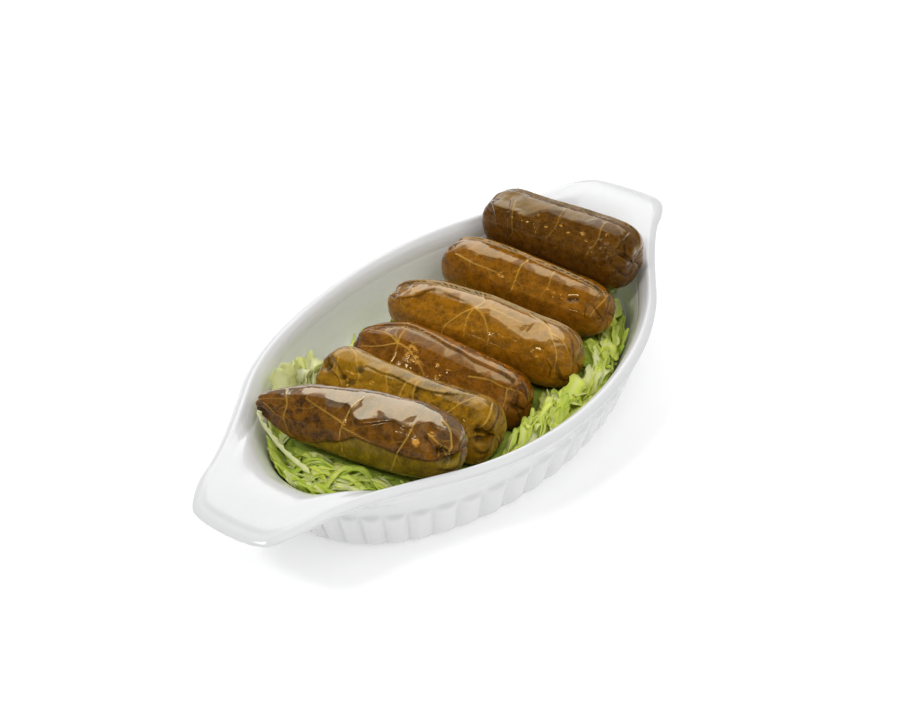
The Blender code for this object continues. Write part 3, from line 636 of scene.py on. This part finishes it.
def smooth_line(line, steps=5):
    """A line of more points that runs smoothly through the given ones."""
    knots = np.array(line, float)
    padded = np.vstack([2 * knots[0] - knots[1], knots, 2 * knots[-1] - knots[-2]])
    share = (np.arange(steps) / steps)[:, None]
    fine = []
    for a, b, c, d in zip(padded, padded[1:], padded[2:], padded[3:]):
        bend = (2 * a - 5 * b + 4 * c - d) * share + (3 * b - a - 3 * c + d) * share**2
        fine.append(b + 0.5 * share * ((c - a) + bend))
    return np.vstack(fine + [knots[-1:]])


def near_line(flat, line):
    """For each place on the spread leaf: distance to a line, which side of it, share along it."""
    best = np.full(len(flat), np.inf)
    side = np.zeros(len(flat))
    share = np.zeros(len(flat))
    for index, (start, end) in enumerate(zip(line, line[1:])):
        run = end - start
        offset = flat - start
        along = np.clip(offset @ run / max(run @ run, 1e-12), 0.0, 1.0)
        away = offset - along[:, None] * run
        distance = np.hypot(away[:, 0], away[:, 1])
        nearer = distance < best
        best = np.where(nearer, distance, best)
        side = np.where(nearer, np.sign(run[0] * offset[:, 1] - run[1] * offset[:, 0]), side)
        share = np.where(nearer, (index + along) / (len(line) - 1), share)
    return best, side, share


def spread_line(line, roll):
    """A smooth line on the spread leaf, through places given as stations and turns."""
    half = roll_frame(roll)[4]
    return smooth_line([(station * half, math.radians(turn) * roll.width / 2) for station, turn in line])


def away_from(flat, roll, station, turn):
    """Distances on the spread leaf from one place on the roll."""
    half = roll_frame(roll)[4]
    return np.hypot(flat[:, 0] - station * half, flat[:, 1] - math.radians(turn) * roll.width / 2)


def branches(line, draws):
    """Side veins that leave a vein by turns to the left and the right."""
    found = []
    steps = np.linalg.norm(np.diff(line, axis=0), axis=1)
    reached = np.concatenate([[0.0], np.cumsum(steps)])
    way = 1
    place = BRANCH_EVERY * draws.uniform(0.4, 1.0)
    while place < reached[-1]:
        index = min(int(np.searchsorted(reached, place)), len(line) - 1)
        run = (line[index] - line[index - 1]) / max(steps[index - 1], 1e-9)
        across = np.array([-run[1], run[0]]) * way
        length = draws.uniform(0.004, 0.009)
        corner = line[index] + (run * 0.55 + across * 0.75) * length * 0.5
        tip = corner + (run * 0.85 + across * 0.45) * length * 0.5
        found.append(smooth_line([line[index], corner, tip], 4))
        way = -way
        place += BRANCH_EVERY * draws.uniform(0.6, 1.2)
    return found


def vein_mask(flat, roll, leaf, seed):
    """How much of a vein shows at each place, from 0 to 1."""
    draws = random.Random(seed)
    mask = np.zeros(len(flat))
    for strength, places in leaf.veins:
        line = spread_line(places, roll)
        distance, _, share = near_line(flat, line)
        width = VEIN_WIDTH * (1.15 - 0.5 * share)
        mask = np.maximum(mask, strength * (1.0 - 0.35 * share) * np.exp(-((distance / width) ** 2)))
        for branch in branches(line, draws):
            distance, _, share = near_line(flat, branch)
            weak = BRANCH_STRENGTH * strength * (1.0 - 0.8 * share)
            mask = np.maximum(mask, weak * np.exp(-((distance / (VEIN_WIDTH * 0.8)) ** 2)))
    return mask


def top_bend(leaf, seed, station, turn):
    """The turn in degrees, at each station, from which the oily top of the roll begins."""
    stations, turns = zip(*leaf.shine)
    return np.interp(station, stations, turns) + 3.0 * soft_noise(station, turn * 0, 16, 1, seed + 31)


def facet_depth(roll, bend, station, turn):
    """How far the roll is flattened beside the bend that bounds its top, as a chord cuts an arc."""
    middle = FACET_TURN + FACET_LEAN * np.tanh((FACET_TURN - bend) / FACET_LEAN)
    half = np.radians(np.clip(np.abs(bend - middle), 1.0, FACET_MOST))
    away = np.abs(turn - np.radians(middle))
    radius = roll.width / 2 * roll_share(roll, station)
    chord = np.cos(half) / np.cos(np.minimum(away, half)) - 1.0
    return radius * np.where(away < half, chord, 0.0)


def leaf_depths(roll, leaf, seed, station, turn, flat):
    """How far the leaf stands out at each place, and what its material reads there."""
    shape = station.shape
    noise = partial(soft_noise, station, turn)
    rounding = end_rounding(roll, station)
    body = smooth_step(rounding / 0.5)
    veins = vein_mask(flat, roll, leaf, seed).reshape(shape)
    bend = top_bend(leaf, seed, station, turn)
    depth = VEIN_HEIGHT * veins * body + facet_depth(roll, bend, station, turn) * body
    streaks = OIL_STREAKS * noise(22, 9, seed + 71)
    oily = smooth_step((np.degrees(turn) - bend + streaks) / OIL_EDGE + 0.5) * body
    wrinkles = 0.55 * noise(9, 5, seed) + 0.45 * noise(7, 22, seed + 50)
    fine = noise(40, 30, seed + 90) * 0.5 + noise(18, 60, seed + 95) * 0.5
    depth += leaf.wrinkle * body * (CREASE_DEPTH * wrinkles + CREASE_DEPTH * 0.25 * fine)
    # The dark values here are painted shade: a line along each fold, the hollow of each dent and the troughs
    # of the pleats at the ends.
    dark = np.zeros(shape)
    for line in leaf.folds:
        distance, side, share = near_line(flat, spread_line(line, roll))
        ends = smooth_step(np.minimum(share, 1.0 - share) * 6.0)
        raised = smooth_step(side * distance / EDGE_SOFTNESS + 0.5) * np.exp(-distance / FOLD_FADE)
        depth += (FOLD_STEP * ends * raised).reshape(shape)
        dark = np.maximum(dark, (0.55 * ends * np.exp(-((distance / FOLD_SHADE_WIDTH) ** 2))).reshape(shape))
    for place, degrees, deep, size in leaf.dents:
        away = away_from(flat, roll, place, degrees)
        hollow = np.exp(-((away / size) ** 2)).reshape(shape)
        depth -= deep * hollow
        if deep > 0:
            dark = np.maximum(dark, 0.75 * smooth_step(hollow * 1.6 - 0.5))
    end = np.clip(1.0 - rounding, 0.0, 1.0)
    spiral = 2.0 * turn + 4.0 * end * np.sign(station) + seed * 1.7
    pleat = np.abs(np.sin(spiral + 0.6 * np.sin(2 * turn + seed))) ** 0.7 - 0.6
    window = smooth_step(end * 3.0) * smooth_step((1.0 - end) * 4.0)
    depth += PLEAT_DEPTH * window * pleat
    dark = np.maximum(dark, 0.7 * window * smooth_step((-0.15 - pleat) * 4.0))
    pale = np.zeros(shape)
    for place, degrees, size in leaf.patches:
        away = away_from(flat, roll, place, degrees)
        ragged = 1.0 + 0.45 * noise(60, 60, seed + int(1000 * size)).ravel()
        pale = np.maximum(pale, smooth_step((size * ragged - away) / (0.45 * size)).reshape(shape))
    depth += PATCH_HEIGHT * pale
    return depth, veins, dark, pale, oily


def make_roll(name, roll, leaf, seed):
    """One stuffed leaf: its overlapping edge, veins, wrinkles, folds and tucked ends."""
    stations = -np.cos(math.pi * (np.arange(LEAF_STATIONS) + 0.5) / LEAF_STATIONS)
    top = np.linspace(LEAF_TOP_FROM, LEAF_TOP_TO, LEAF_TOP_SIDES, endpoint=False)
    under = np.linspace(LEAF_TOP_TO, LEAF_TOP_FROM + 2 * math.pi, LEAF_UNDER_SIDES, endpoint=False)
    turns = np.concatenate([top, under])
    turns = np.where(turns > 1.5 * math.pi, turns - 2 * math.pi, turns)
    station, turn = np.meshgrid(stations, turns, indexing="ij")
    middle, axis, _, _, half = roll_frame(roll)
    flat = np.column_stack([station.ravel() * half, turn.ravel() * roll.width / 2])
    edge_stations, edge_turns = zip(*leaf.edge)
    edge = np.radians(np.interp(station, edge_stations, edge_turns))
    edge += 0.04 * soft_noise(station, turn * 0, 12, 1, seed + 7)
    past = (turn - edge) % (2 * math.pi)
    before = 2 * math.pi - past
    softness = EDGE_SOFTNESS / (roll.width / 2)
    layer = LEAF_STEP * roll_share(roll, station) * before / (2 * math.pi) * smooth_step(past / softness)
    depth, veins, dark, pale, oily = leaf_depths(roll, leaf, seed, station, turn, flat)
    points = roll_points(roll, seed, station, turn, layer)
    along = np.gradient(points, axis=0)
    around = np.roll(points, -1, axis=1) - np.roll(points, 1, axis=1)
    outward = np.cross(around, along)
    outward /= np.linalg.norm(outward, axis=2)[..., None]
    if np.sum(outward * (points - middle)) < 0:
        outward = -outward
    points = points + outward * depth[..., None]
    tuck = TUCK_DEPTH * smooth_step((0.55 - end_rounding(roll, station)) / 0.5) * np.sign(station)
    points = points - axis * tuck[..., None]
    ends = (points[0].mean(axis=0), points[-1].mean(axis=0))
    thing = tube_object(name + "_leaf", points, *ends)
    # Painted shade along the overlapping edge of the leaf, added to the painted shade of the folds, dents and
    # pleats.
    painted_seam_shade = 0.4 * np.exp(-((np.minimum(past, before) / (1.2 * softness)) ** 2))
    dark = np.maximum(dark, painted_seam_shade * smooth_step(end_rounding(roll, station)))
    under_flap = smooth_step((edge - turn) / (2 * softness))
    places = np.column_stack([flat, np.full(len(flat), seed * 0.1)])
    looks = {"vein": veins, "dark": dark, "pale": pale, "flank": under_flap, "oily": oily}
    for label, values in looks.items():
        point_values(thing, label, np.concatenate([values.ravel(), [0.0, 0.0]]))
    point_values(thing, "place", np.vstack([places, places[:1], places[-1:]]))
    return thing


def bowl_row(half_length):
    """Half width, side height and tip height of the bowl where it has this half length."""
    for low, high in zip(HEAP_BOWL, HEAP_BOWL[1:]):
        if half_length <= high[0]:
            break
    share = min(max((half_length - low[0]) / (high[0] - low[0]), 0.0), 1.0)
    return tuple(start + (end - start) * share for start, end in zip(low[1:], high[1:]))


def bowl_height(half_length, turn):
    _, side_height, tip_height = bowl_row(half_length)
    return side_height + (tip_height - side_height) * math.cos(turn) ** 2


def bowl_place(x, y):
    """Half length and oval parameter of the bowl's ring that passes over a point."""
    low, high = HEAP_BOWL[0][0], HEAP_BOWL[-1][0]
    for _ in range(16):
        middle = (low + high) / 2
        half_width = bowl_row(middle)[0]
        if (x / middle) ** 2 + (y / half_width) ** 2 > 1.0:
            low = middle
        else:
            high = middle
    return high, math.atan2(y / bowl_row(high)[0], x / high)


def heap_edge(turn):
    """Half length of the bowl's ring where the lettuce ends, which leaves the back wall bare."""
    behind = smooth_step((math.sin(turn) - 0.10) / 0.35)
    near_handle = smooth_step((-math.cos(turn) - 0.22) / 0.25)
    bare = float(behind * (1.0 - near_handle))
    far_end = float(smooth_step((math.cos(turn) - 0.70) / 0.25))
    waves = EDGE_WAVE_DEPTH * (1 + math.sin(EDGE_WAVES * turn))
    return HEAP_HALF_LENGTH - BARE_BACK_WALL * bare - BARE_FAR_END * far_end - waves


def share_at(roll, station):
    """The same as roll_share for one station, without arrays."""
    fullness = roll.fullness[0] if station < 0 else roll.fullness[1]
    rounding = max(0.0, 1.0 - abs(station) ** (2.0 + 7.0 * fullness)) ** (1.0 / ROLL_END_ROUNDNESS)
    place = (station + 1.0) / 2.0 * (len(roll.girth) - 1)
    before = min(int(place), len(roll.girth) - 2)
    step = place - before
    return rounding * (roll.girth[before] * (1 - step) + roll.girth[before + 1] * step)


def under_rolls(x, y):
    """Height of the lowest roll's skin over a point, or None where there is no roll."""
    lowest = None
    for roll in ROLLS.values():
        middle, axis, side, _, half = roll_frame(roll)
        offset = np.array((x, y, middle[2])) - middle
        station = float(offset @ axis) / half
        if abs(station) >= 1.0:
            continue
        share = share_at(roll, station)
        lateral = abs(float(offset @ side)) / (share * roll.width / 2 + BED_ROOM)
        if lateral >= 1.0:
            continue
        drop = (1.0 - lateral**ROLL_SQUARENESS) ** (1.0 / ROLL_SQUARENESS)
        radius = share * roll.width / 2 * ROLL_FLATNESS + BED_ROOM
        height = middle[2] + axis[2] * station * half - radius * drop
        lowest = height if lowest is None else min(lowest, height)
    return lowest


def heap_top(x, y):
    """Height of the lettuce bed over a point, pressed down by the rolls."""
    half_length, turn = bowl_place(x, y)
    inward = 1.0 - half_length / heap_edge(turn)
    rise = 0.0
    for mound in HEAP_MOUNDS:
        offset_x = (x - mound.middle[0]) / mound.reach[0]
        offset_y = (y - mound.middle[1]) / mound.reach[1]
        rise += mound.height * float(smooth_step(1.4 * (1.0 - math.hypot(offset_x, offset_y))))
    floor = bowl_height(half_length, turn)
    body = max(BED_HEIGHT + rise - floor, 0.0)
    height = floor + HEAP_CLEARANCE + HEAP_EDGE + body * float(smooth_step(inward * 9.0))
    pressed = under_rolls(x, y)
    return height if pressed is None else max(min(height, pressed), floor + HEAP_CLEARANCE + HEAP_EDGE)


def make_bed():
    """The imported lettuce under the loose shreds: the bowl's shape below and a low mound above."""
    turns = [2 * math.pi * index / BED_SPOKES for index in range(BED_SPOKES)]
    lower, upper = [], []
    for ring in range(1, BED_RINGS + 1):
        share = (ring / BED_RINGS) ** 0.75
        below, above = [], []
        for turn in turns:
            half_length = heap_edge(turn) * share
            half_width = bowl_row(half_length)[0] - HEAP_CLEARANCE
            x, y = (half_length - HEAP_CLEARANCE) * math.cos(turn), half_width * math.sin(turn)
            floor = bowl_height(half_length, turn) + HEAP_CLEARANCE
            ripple = BED_RIPPLE * (math.sin(900 * x + 2 * math.sin(700 * y)) - 1.0)
            below.append((x, y, floor))
            above.append((x, y, max(heap_top(x, y) + ripple, floor + HEAP_EDGE / 2)))
        lower.append(below)
        upper.append(above)
    rings = np.array(lower + upper[::-1])
    bed = tube_object("lettuce_bed", rings, (0, 0, FLOOR_HEIGHT + HEAP_CLEARANCE), (0, 0, heap_top(0.0, 0.0)))
    count = len(bed.data.vertices)
    point_values(bed, "green", np.full(count, 0.75))
    point_values(bed, "rib", np.zeros(count))
    return bed


def clear_of_rolls(point, room):
    for roll in ROLLS.values():
        middle, axis, side, up, half = roll_frame(roll)
        offset = point - middle
        station = float(offset @ axis) / (half + room)
        if abs(station) >= 1.0:
            continue
        reach = share_at(roll, station) * roll.width / 2 + room
        sideways, upward = abs(float(offset @ side)), abs(float(offset @ up)) / ROLL_FLATNESS
        away = (sideways**ROLL_SQUARENESS + upward**ROLL_SQUARENESS) ** (1.0 / ROLL_SQUARENESS)
        if away < reach * 1.04:
            return False
    return True


def clear_of_bowl(point, room):
    half_length, turn = bowl_place(point[0], point[1])
    return half_length < HEAP_BOWL[-1][0] - room and point[2] > bowl_height(half_length, turn) + room


def shred_path(start, heading, length, lift, draws):
    """Middles of a shred's sections along a bent path over the bed, and where it meets a thing."""
    x, y = start
    curl = draws.uniform(-1.0, 1.0) * SHRED_CURL
    wave = draws.uniform(0.5, 1.6)
    phase = draws.uniform(0, 6.28)
    points = []
    for step in range(int(length / SHRED_SECTION)):
        along = step * SHRED_SECTION
        height = heap_top(x, y) + lift * (0.55 + 0.45 * math.sin(wave * along * 300 + phase))
        point = np.array((x, y, height))
        if not (clear_of_rolls(point, PATH_OFF_ROLLS) and clear_of_bowl(point, PATH_OFF_BOWL)):
            break
        points.append(point)
        bend = heading + curl * along + SHRED_SWAY * math.sin(along * 400 * wave + phase)
        x += SHRED_SECTION * math.cos(bend)
        y += SHRED_SECTION * math.sin(bend)
    return points


def shred_skin(points, width, draws):
    """Rings of a thin wavy ribbon round its path, and how far across it each point lies."""
    middles = np.array(points)
    run = np.gradient(middles, axis=0)
    run /= np.linalg.norm(run, axis=1)[:, None]
    tilt = draws.uniform(-SHRED_TILT, SHRED_TILT)
    twist = draws.uniform(-SHRED_TWIST, SHRED_TWIST)
    crimp = draws.uniform(0.0, SHRED_CRIMP)
    phase = draws.uniform(0, 6.28)
    across = np.linspace(-1.0, 1.0, SHRED_COLUMNS)
    rings = []
    for index, (middle, forward) in enumerate(zip(middles, run)):
        level = np.cross(forward, (0, 0, 1.0))
        level /= max(np.linalg.norm(level), 1e-6)
        upward = np.cross(level, forward)
        lean = tilt + twist * index * SHRED_SECTION
        flat = level * math.cos(lean) + upward * math.sin(lean)
        normal = np.cross(flat, forward)
        taper = min(1.0, 0.35 + 0.4 * min(index, len(middles) - 1 - index))
        half = width / 2 * taper * (1.0 + 0.18 * math.sin(index * 1.7 + phase))
        cup = 0.22 * width * (across**2 - 0.4)
        ripple = crimp * np.abs(across) * np.sin(index * 2.1 + phase + across * 1.5)
        spine = middle + flat * (across * half)[:, None] + normal * (cup * taper + ripple)[:, None]
        thick = SHRED_THICKNESS * (0.55 + 0.9 * np.exp(-((across / 0.4) ** 2)))[:, None] / 2
        rings.append(np.vstack([spine + normal * thick, (spine - normal * thick)[::-1]]))
    return np.array(rings), np.concatenate([across, across[::-1]])


def add_shred(points, faces, rings):
    """Adds one closed ribbon to the lists of a mesh."""
    start, count = len(points), rings.shape[1]
    points.extend(rings.reshape(-1, 3).tolist())
    faces.extend(ring_faces(start, len(rings), count))
    last = start + (len(rings) - 1) * count
    faces.append(tuple(range(start + count - 1, start - 1, -1)))
    faces.append(tuple(range(last, last + count)))


def skin_is_clear(rings):
    return all(
        clear_of_rolls(point, SKIN_OFF_ROLLS) and clear_of_bowl(point, SKIN_OFF_BOWL)
        for point in rings.reshape(-1, 3)
    )


def make_shreds(name, patches, seed):
    """All the loose shreds as one mesh of many thin ribbons."""
    draws = random.Random(seed)
    points, faces, greens, ribs = [], [], [], []
    for blade in BLADES:
        path = smooth_line(blade.line)
        rings, across = shred_skin(path, blade.width, draws)
        add_shred(points, faces, rings)
        along = np.linspace(0, 1, len(rings))[:, None]
        greens.extend((blade.green + 0.10 * (along - 0.5) + 0.10 * np.abs(across)).ravel().tolist())
        ribs.extend((0.5 * np.exp(-((across / 0.3) ** 2)) * (1 - 0.6 * along)).ravel().tolist())
    for middle, spread, toward, lift, wanted, widths, lengths, hues in patches:
        made = 0
        for _ in range(wanted * TRIES_PER_SHRED):
            if made == wanted:
                break
            x = middle[0] + spread[0] * draws.uniform(-1, 1)
            y = middle[1] + spread[1] * draws.uniform(-1, 1)
            heading = math.radians(toward + draws.uniform(-SHRED_TURN, SHRED_TURN))
            heading += math.pi * draws.randint(0, 1)
            length = draws.uniform(*lengths)
            path = shred_path((x, y), heading, length, draws.uniform(*lift), draws)
            width = draws.uniform(*widths)
            green = draws.uniform(*hues)
            if len(path) < SHRED_FEWEST_SECTIONS:
                continue
            rings, across = shred_skin(path, width, draws)
            if not skin_is_clear(rings):
                continue
            add_shred(points, faces, rings)
            along = np.linspace(0, 1, len(rings))[:, None]
            greens.extend((green + 0.25 * (along - 0.5) + 0.12 * np.abs(across)).ravel().tolist())
            ribs.extend((np.exp(-((across / 0.35) ** 2)) * (1 - green) * (1 - 0.6 * along)).ravel().tolist())
            made += 1
    shreds = mesh_object(name, points, faces)
    point_values(shreds, "green", np.clip(greens, 0, 1))
    point_values(shreds, "rib", np.array(ribs))
    return shreds


class Paint:
    """A short way to write a material's nodes."""

    def __init__(self, name):
        self.material = bpy.data.materials.new(name)
        self.material.use_nodes = True
        self.nodes = self.material.node_tree.nodes
        self.links = self.material.node_tree.links
        self.shader = self.nodes["Principled BSDF"]

    def connect(self, value, socket):
        if isinstance(value, bpy.types.NodeSocket):
            self.links.new(value, socket)
        elif isinstance(value, tuple) and len(value) == 3 and socket.type == "RGBA":
            socket.default_value = (*value, 1.0)
        else:
            socket.default_value = value

    def feed(self, node, inputs, output=0):
        """Connects what is given to a node's inputs, by name or number, and returns one output."""
        for key, value in inputs.items():
            if value is not None:
                self.connect(value, node.inputs[key])
        return node.outputs[output]

    def values(self, name, output="Fac"):
        node = self.nodes.new("ShaderNodeAttribute")
        node.attribute_name = name
        return node.outputs[output]

    def noise(self, scale, detail=3.0, place=None, roughness=0.55):
        node = self.nodes.new("ShaderNodeTexNoise")
        return self.feed(node, {"Scale": scale, "Detail": detail, "Roughness": roughness, "Vector": place})

    def cells(self, scale, place):
        node = self.nodes.new("ShaderNodeTexVoronoi")
        node.feature = "DISTANCE_TO_EDGE"
        return self.feed(node, {"Scale": scale, "Vector": place}, "Distance")

    def remap(self, value, low, high, to_low=0.0, to_high=1.0):
        node = self.nodes.new("ShaderNodeMapRange")
        ends = {"From Min": low, "From Max": high, "To Min": to_low, "To Max": to_high}
        return self.feed(node, {"Value": value, **ends}, "Result")

    def times(self, first, second):
        node = self.nodes.new("ShaderNodeMath")
        node.operation = "MULTIPLY"
        return self.feed(node, {0: first, 1: second})

    def mix(self, share, first, second):
        node = self.nodes.new("ShaderNodeMix")
        node.data_type = "RGBA"
        return self.feed(node, {0: share, 6: first, 7: second}, 2)

    def bump(self, height, distance, strength, after=None):
        node = self.nodes.new("ShaderNodeBump")
        inputs = {"Strength": strength, "Distance": distance, "Height": height, "Normal": after}
        return self.feed(node, inputs)

    def finish(self, **sockets):
        for name, value in sockets.items():
            self.connect(value, self.shader.inputs[name.replace("_", " ")])
        return self.material


def glaze_material():
    """White glaze: smooth and glossy, a little thinner and warmer on the flutes' crests."""
    paint = Paint("white_glaze")
    cloudy = paint.remap(paint.noise(14.0), 0.3, 0.7)
    body = paint.mix(cloudy, GLAZE_DULL, GLAZE_BRIGHT)
    color = paint.mix(paint.remap(paint.values("crest"), 0.75, 1.0, 0.0, 0.35), body, GLAZE_CREST)
    gloss = paint.remap(paint.noise(60.0), 0.3, 0.7, 0.10, 0.17)
    waves = paint.bump(paint.noise(45.0, 2.0), 0.0006, 0.12)
    specks = paint.bump(paint.noise(1400.0, 2.0), 0.00004, 0.15, waves)
    return paint.finish(Base_Color=color, Roughness=gloss, Normal=specks, IOR=1.5)


def leaf_material(name, leaf):
    """Cooked vine leaf under oil: mottled brown, gold veins and rubbed patches, a net of cells, and painted
    shade in folds, dents, pleats and along the seam.
    """
    paint = Paint(name)
    place = paint.values("place", "Vector")
    mottle = paint.remap(paint.noise(260.0, 5.0, place, 0.62), 0.38, 0.60)
    broad = paint.remap(paint.noise(75.0, 2.0, place), 0.24, 0.56)
    color = paint.mix(paint.times(mottle, broad), leaf.light, leaf.dark)
    flank = paint.mix(mottle, leaf.flank, tuple(0.5 * value for value in leaf.flank))
    color = paint.mix(paint.values("flank"), color, flank)
    net = paint.remap(paint.cells(520.0, place), 0.0, 0.10, 1.0, 0.0)
    gold = tuple(min(1.0, 0.22 + 2.0 * value) for value in leaf.light)
    color = paint.mix(paint.times(net, 0.08), color, gold)
    grain = paint.remap(paint.noise(2600.0, 2.0, place), 0.35, 0.65)
    color = paint.mix(paint.times(grain, 0.30), color, tuple(0.45 * value for value in leaf.light))
    color = paint.mix(paint.times(paint.values("vein"), 0.80), color, VEIN_GOLD)
    rubbed = paint.remap(paint.noise(620.0, 3.0, place), 0.44, 0.56)
    rubbed = paint.times(rubbed, paint.values("pale"))
    color = paint.mix(paint.times(rubbed, 0.8), color, RUBBED_GOLD)
    # Painted shade in the folds, dents, pleats and along the seam.
    color = paint.mix(paint.values("dark"), color, PAINTED_FOLD_SHADE)
    creases = paint.bump(paint.noise(150.0, 2.0, place, 0.45), 0.0006, 0.32)
    cells = paint.bump(paint.cells(520.0, place), 0.00007, 0.4, creases)
    pores = paint.bump(paint.noise(1500.0, 2.0, place), 0.00004, 0.25, cells)
    gloss = paint.remap(paint.noise(240.0, 3.0, place), 0.3, 0.7, 0.05, 0.13)
    oily = paint.values("oily")
    shine = paint.remap(oily, 0.0, 1.0, 0.10, 0.22 + 0.76 * leaf.oil)
    film = paint.remap(oily, 0.0, 1.0, 0.02, 0.30 * leaf.oil**2)
    tint = (1.0, 0.72 + 0.16 * leaf.oil, 0.20 + 0.40 * leaf.oil)
    return paint.finish(
        Base_Color=color, Roughness=gloss, Normal=pores,
        IOR=1.9, Specular_IOR_Level=shine, Specular_Tint=tint,
        Subsurface_Weight=0.06, Subsurface_Scale=0.002, Subsurface_Radius=(1.0, 0.45, 0.12),
        Coat_Weight=film, Coat_IOR=1.6, Coat_Roughness=0.06, Coat_Normal=creases,
    )


def lettuce_material(name, lit_share):
    """Raw lettuce: from white rib over yellow-green to green, rippled and slightly glossy; given a share
    below 1, its colour is darkened as painted shade.
    """
    paint = Paint(name)
    green = paint.values("green")
    color = paint.mix(paint.remap(green, 0.0, 0.5), LETTUCE_WHITE, LETTUCE_YELLOW)
    color = paint.mix(paint.remap(green, 0.5, 1.0), color, LETTUCE_GREEN)
    color = paint.mix(paint.values("rib"), color, LETTUCE_RIB)
    cloudy = paint.remap(paint.noise(420.0, 3.0), 0.35, 0.65, 0.0, 0.35)
    color = paint.mix(cloudy, color, LETTUCE_CLOUD)
    # Painted shade: all but the given share of the colour turns to the darker green.
    color = paint.mix(1.0 - lit_share, color, LETTUCE_PAINTED_SHADE)
    ripples = paint.bump(paint.noise(900.0, 3.0), 0.00025, 0.7)
    return paint.finish(
        Base_Color=color, Roughness=0.34, Normal=ripples, IOR=1.4, Specular_IOR_Level=0.35,
        Subsurface_Weight=0.15, Subsurface_Scale=0.002, Subsurface_Radius=(0.9, 1.0, 0.20),
    )


def dress(thing, material, slot, *nodes):
    """Gives a finished piece its material and its body, and hides the nodes that it stands for."""
    thing.data.materials.clear()
    thing.data.materials.append(material)
    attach(thing, "root")
    if nodes:
        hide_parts(*nodes)


def make_floor():
    size = FLOOR_REACH
    corners = [(-size, -size, 0), (size, -size, 0), (size, size, 0), (-size, size, 0)]
    floor = mesh_object("floor", corners, [(0, 1, 2, 3)])
    paint = Paint("white_floor")
    white = paint.finish(
        Base_Color=FLOOR_WHITE, Roughness=0.9, Emission_Color=(1.0, 1.0, 1.0), Emission_Strength=FLOOR_GLOW,
    )
    floor.data.materials.append(white)


def add_area(name, toward, distance, size, power, spin):
    """A soft light that looks at the origin from a direction."""
    light = bpy.data.lights.new(name, "AREA")
    light.shape = "RECTANGLE"
    light.size, light.size_y = size
    light.energy = power
    lamp = bpy.data.objects.new(name, light)
    lamp.location = Vector(toward).normalized() * distance
    facing = (-lamp.location).to_track_quat("-Z", "Y")
    lamp.rotation_euler = (facing @ Quaternion((0, 0, 1), math.radians(spin))).to_euler()
    lamp.visible_camera = False
    bpy.context.scene.collection.objects.link(lamp)


def make_lights():
    world = bpy.data.worlds.new("studio")
    bpy.context.scene.world = world
    world.use_nodes = True
    background = world.node_tree.nodes["Background"]
    background.inputs["Color"].default_value = (1.0, 1.0, 1.0, 1.0)
    background.inputs["Strength"].default_value = WORLD_STRENGTH
    for light in LIGHTS:
        add_area(*light)


def make_camera():
    azimuth, elevation, roll = CAMERA_AZIMUTH, CAMERA_ELEVATION, CAMERA_ROLL
    flat = math.cos(elevation)
    back = Vector((math.sin(azimuth) * flat, -math.cos(azimuth) * flat, math.sin(elevation)))
    level = Vector((math.cos(azimuth), math.sin(azimuth), 0.0))
    upright = back.cross(level)
    right = math.cos(roll) * level + math.sin(roll) * upright
    up = math.cos(roll) * upright - math.sin(roll) * level
    place = CAMERA_DISTANCE * back - CAMERA_OFFSET[0] * right - CAMERA_OFFSET[1] * up
    camera = bpy.data.cameras.new("camera")
    camera.sensor_width = SENSOR_WIDTH
    camera.lens = FOCAL_PIXELS * SENSOR_WIDTH / PHOTO_WIDTH
    camera.clip_start = 0.01
    thing = bpy.data.objects.new("camera", camera)
    thing.matrix_world = Matrix((right, up, back)).transposed().to_4x4()
    thing.location = place
    bpy.context.scene.collection.objects.link(thing)
    bpy.context.scene.camera = thing


def main():
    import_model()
    make_camera()
    make_lights()
    make_floor()
    bpy.context.scene.view_settings.view_transform = "Standard"
    dress(make_dish(), glaze_material(), "glaze", "dish")
    for seed, (name, roll) in enumerate(ROLLS.items()):
        leaf = LEAVES[name]
        dress(make_roll(name, roll, leaf, seed), leaf_material(name + "_leaf", leaf), "vine_leaf", name)
    # The bed is the same lettuce, darkened by painted shade.
    dress(make_bed(), lettuce_material("lettuce_bed", BED_LIT_SHARE), "lettuce", "lettuce")
    shreds = make_shreds("lettuce_shreds", SHRED_PATCHES, SHRED_SEED)
    dress(shreds, lettuce_material("lettuce_shreds", 1.0), "lettuce")


main()
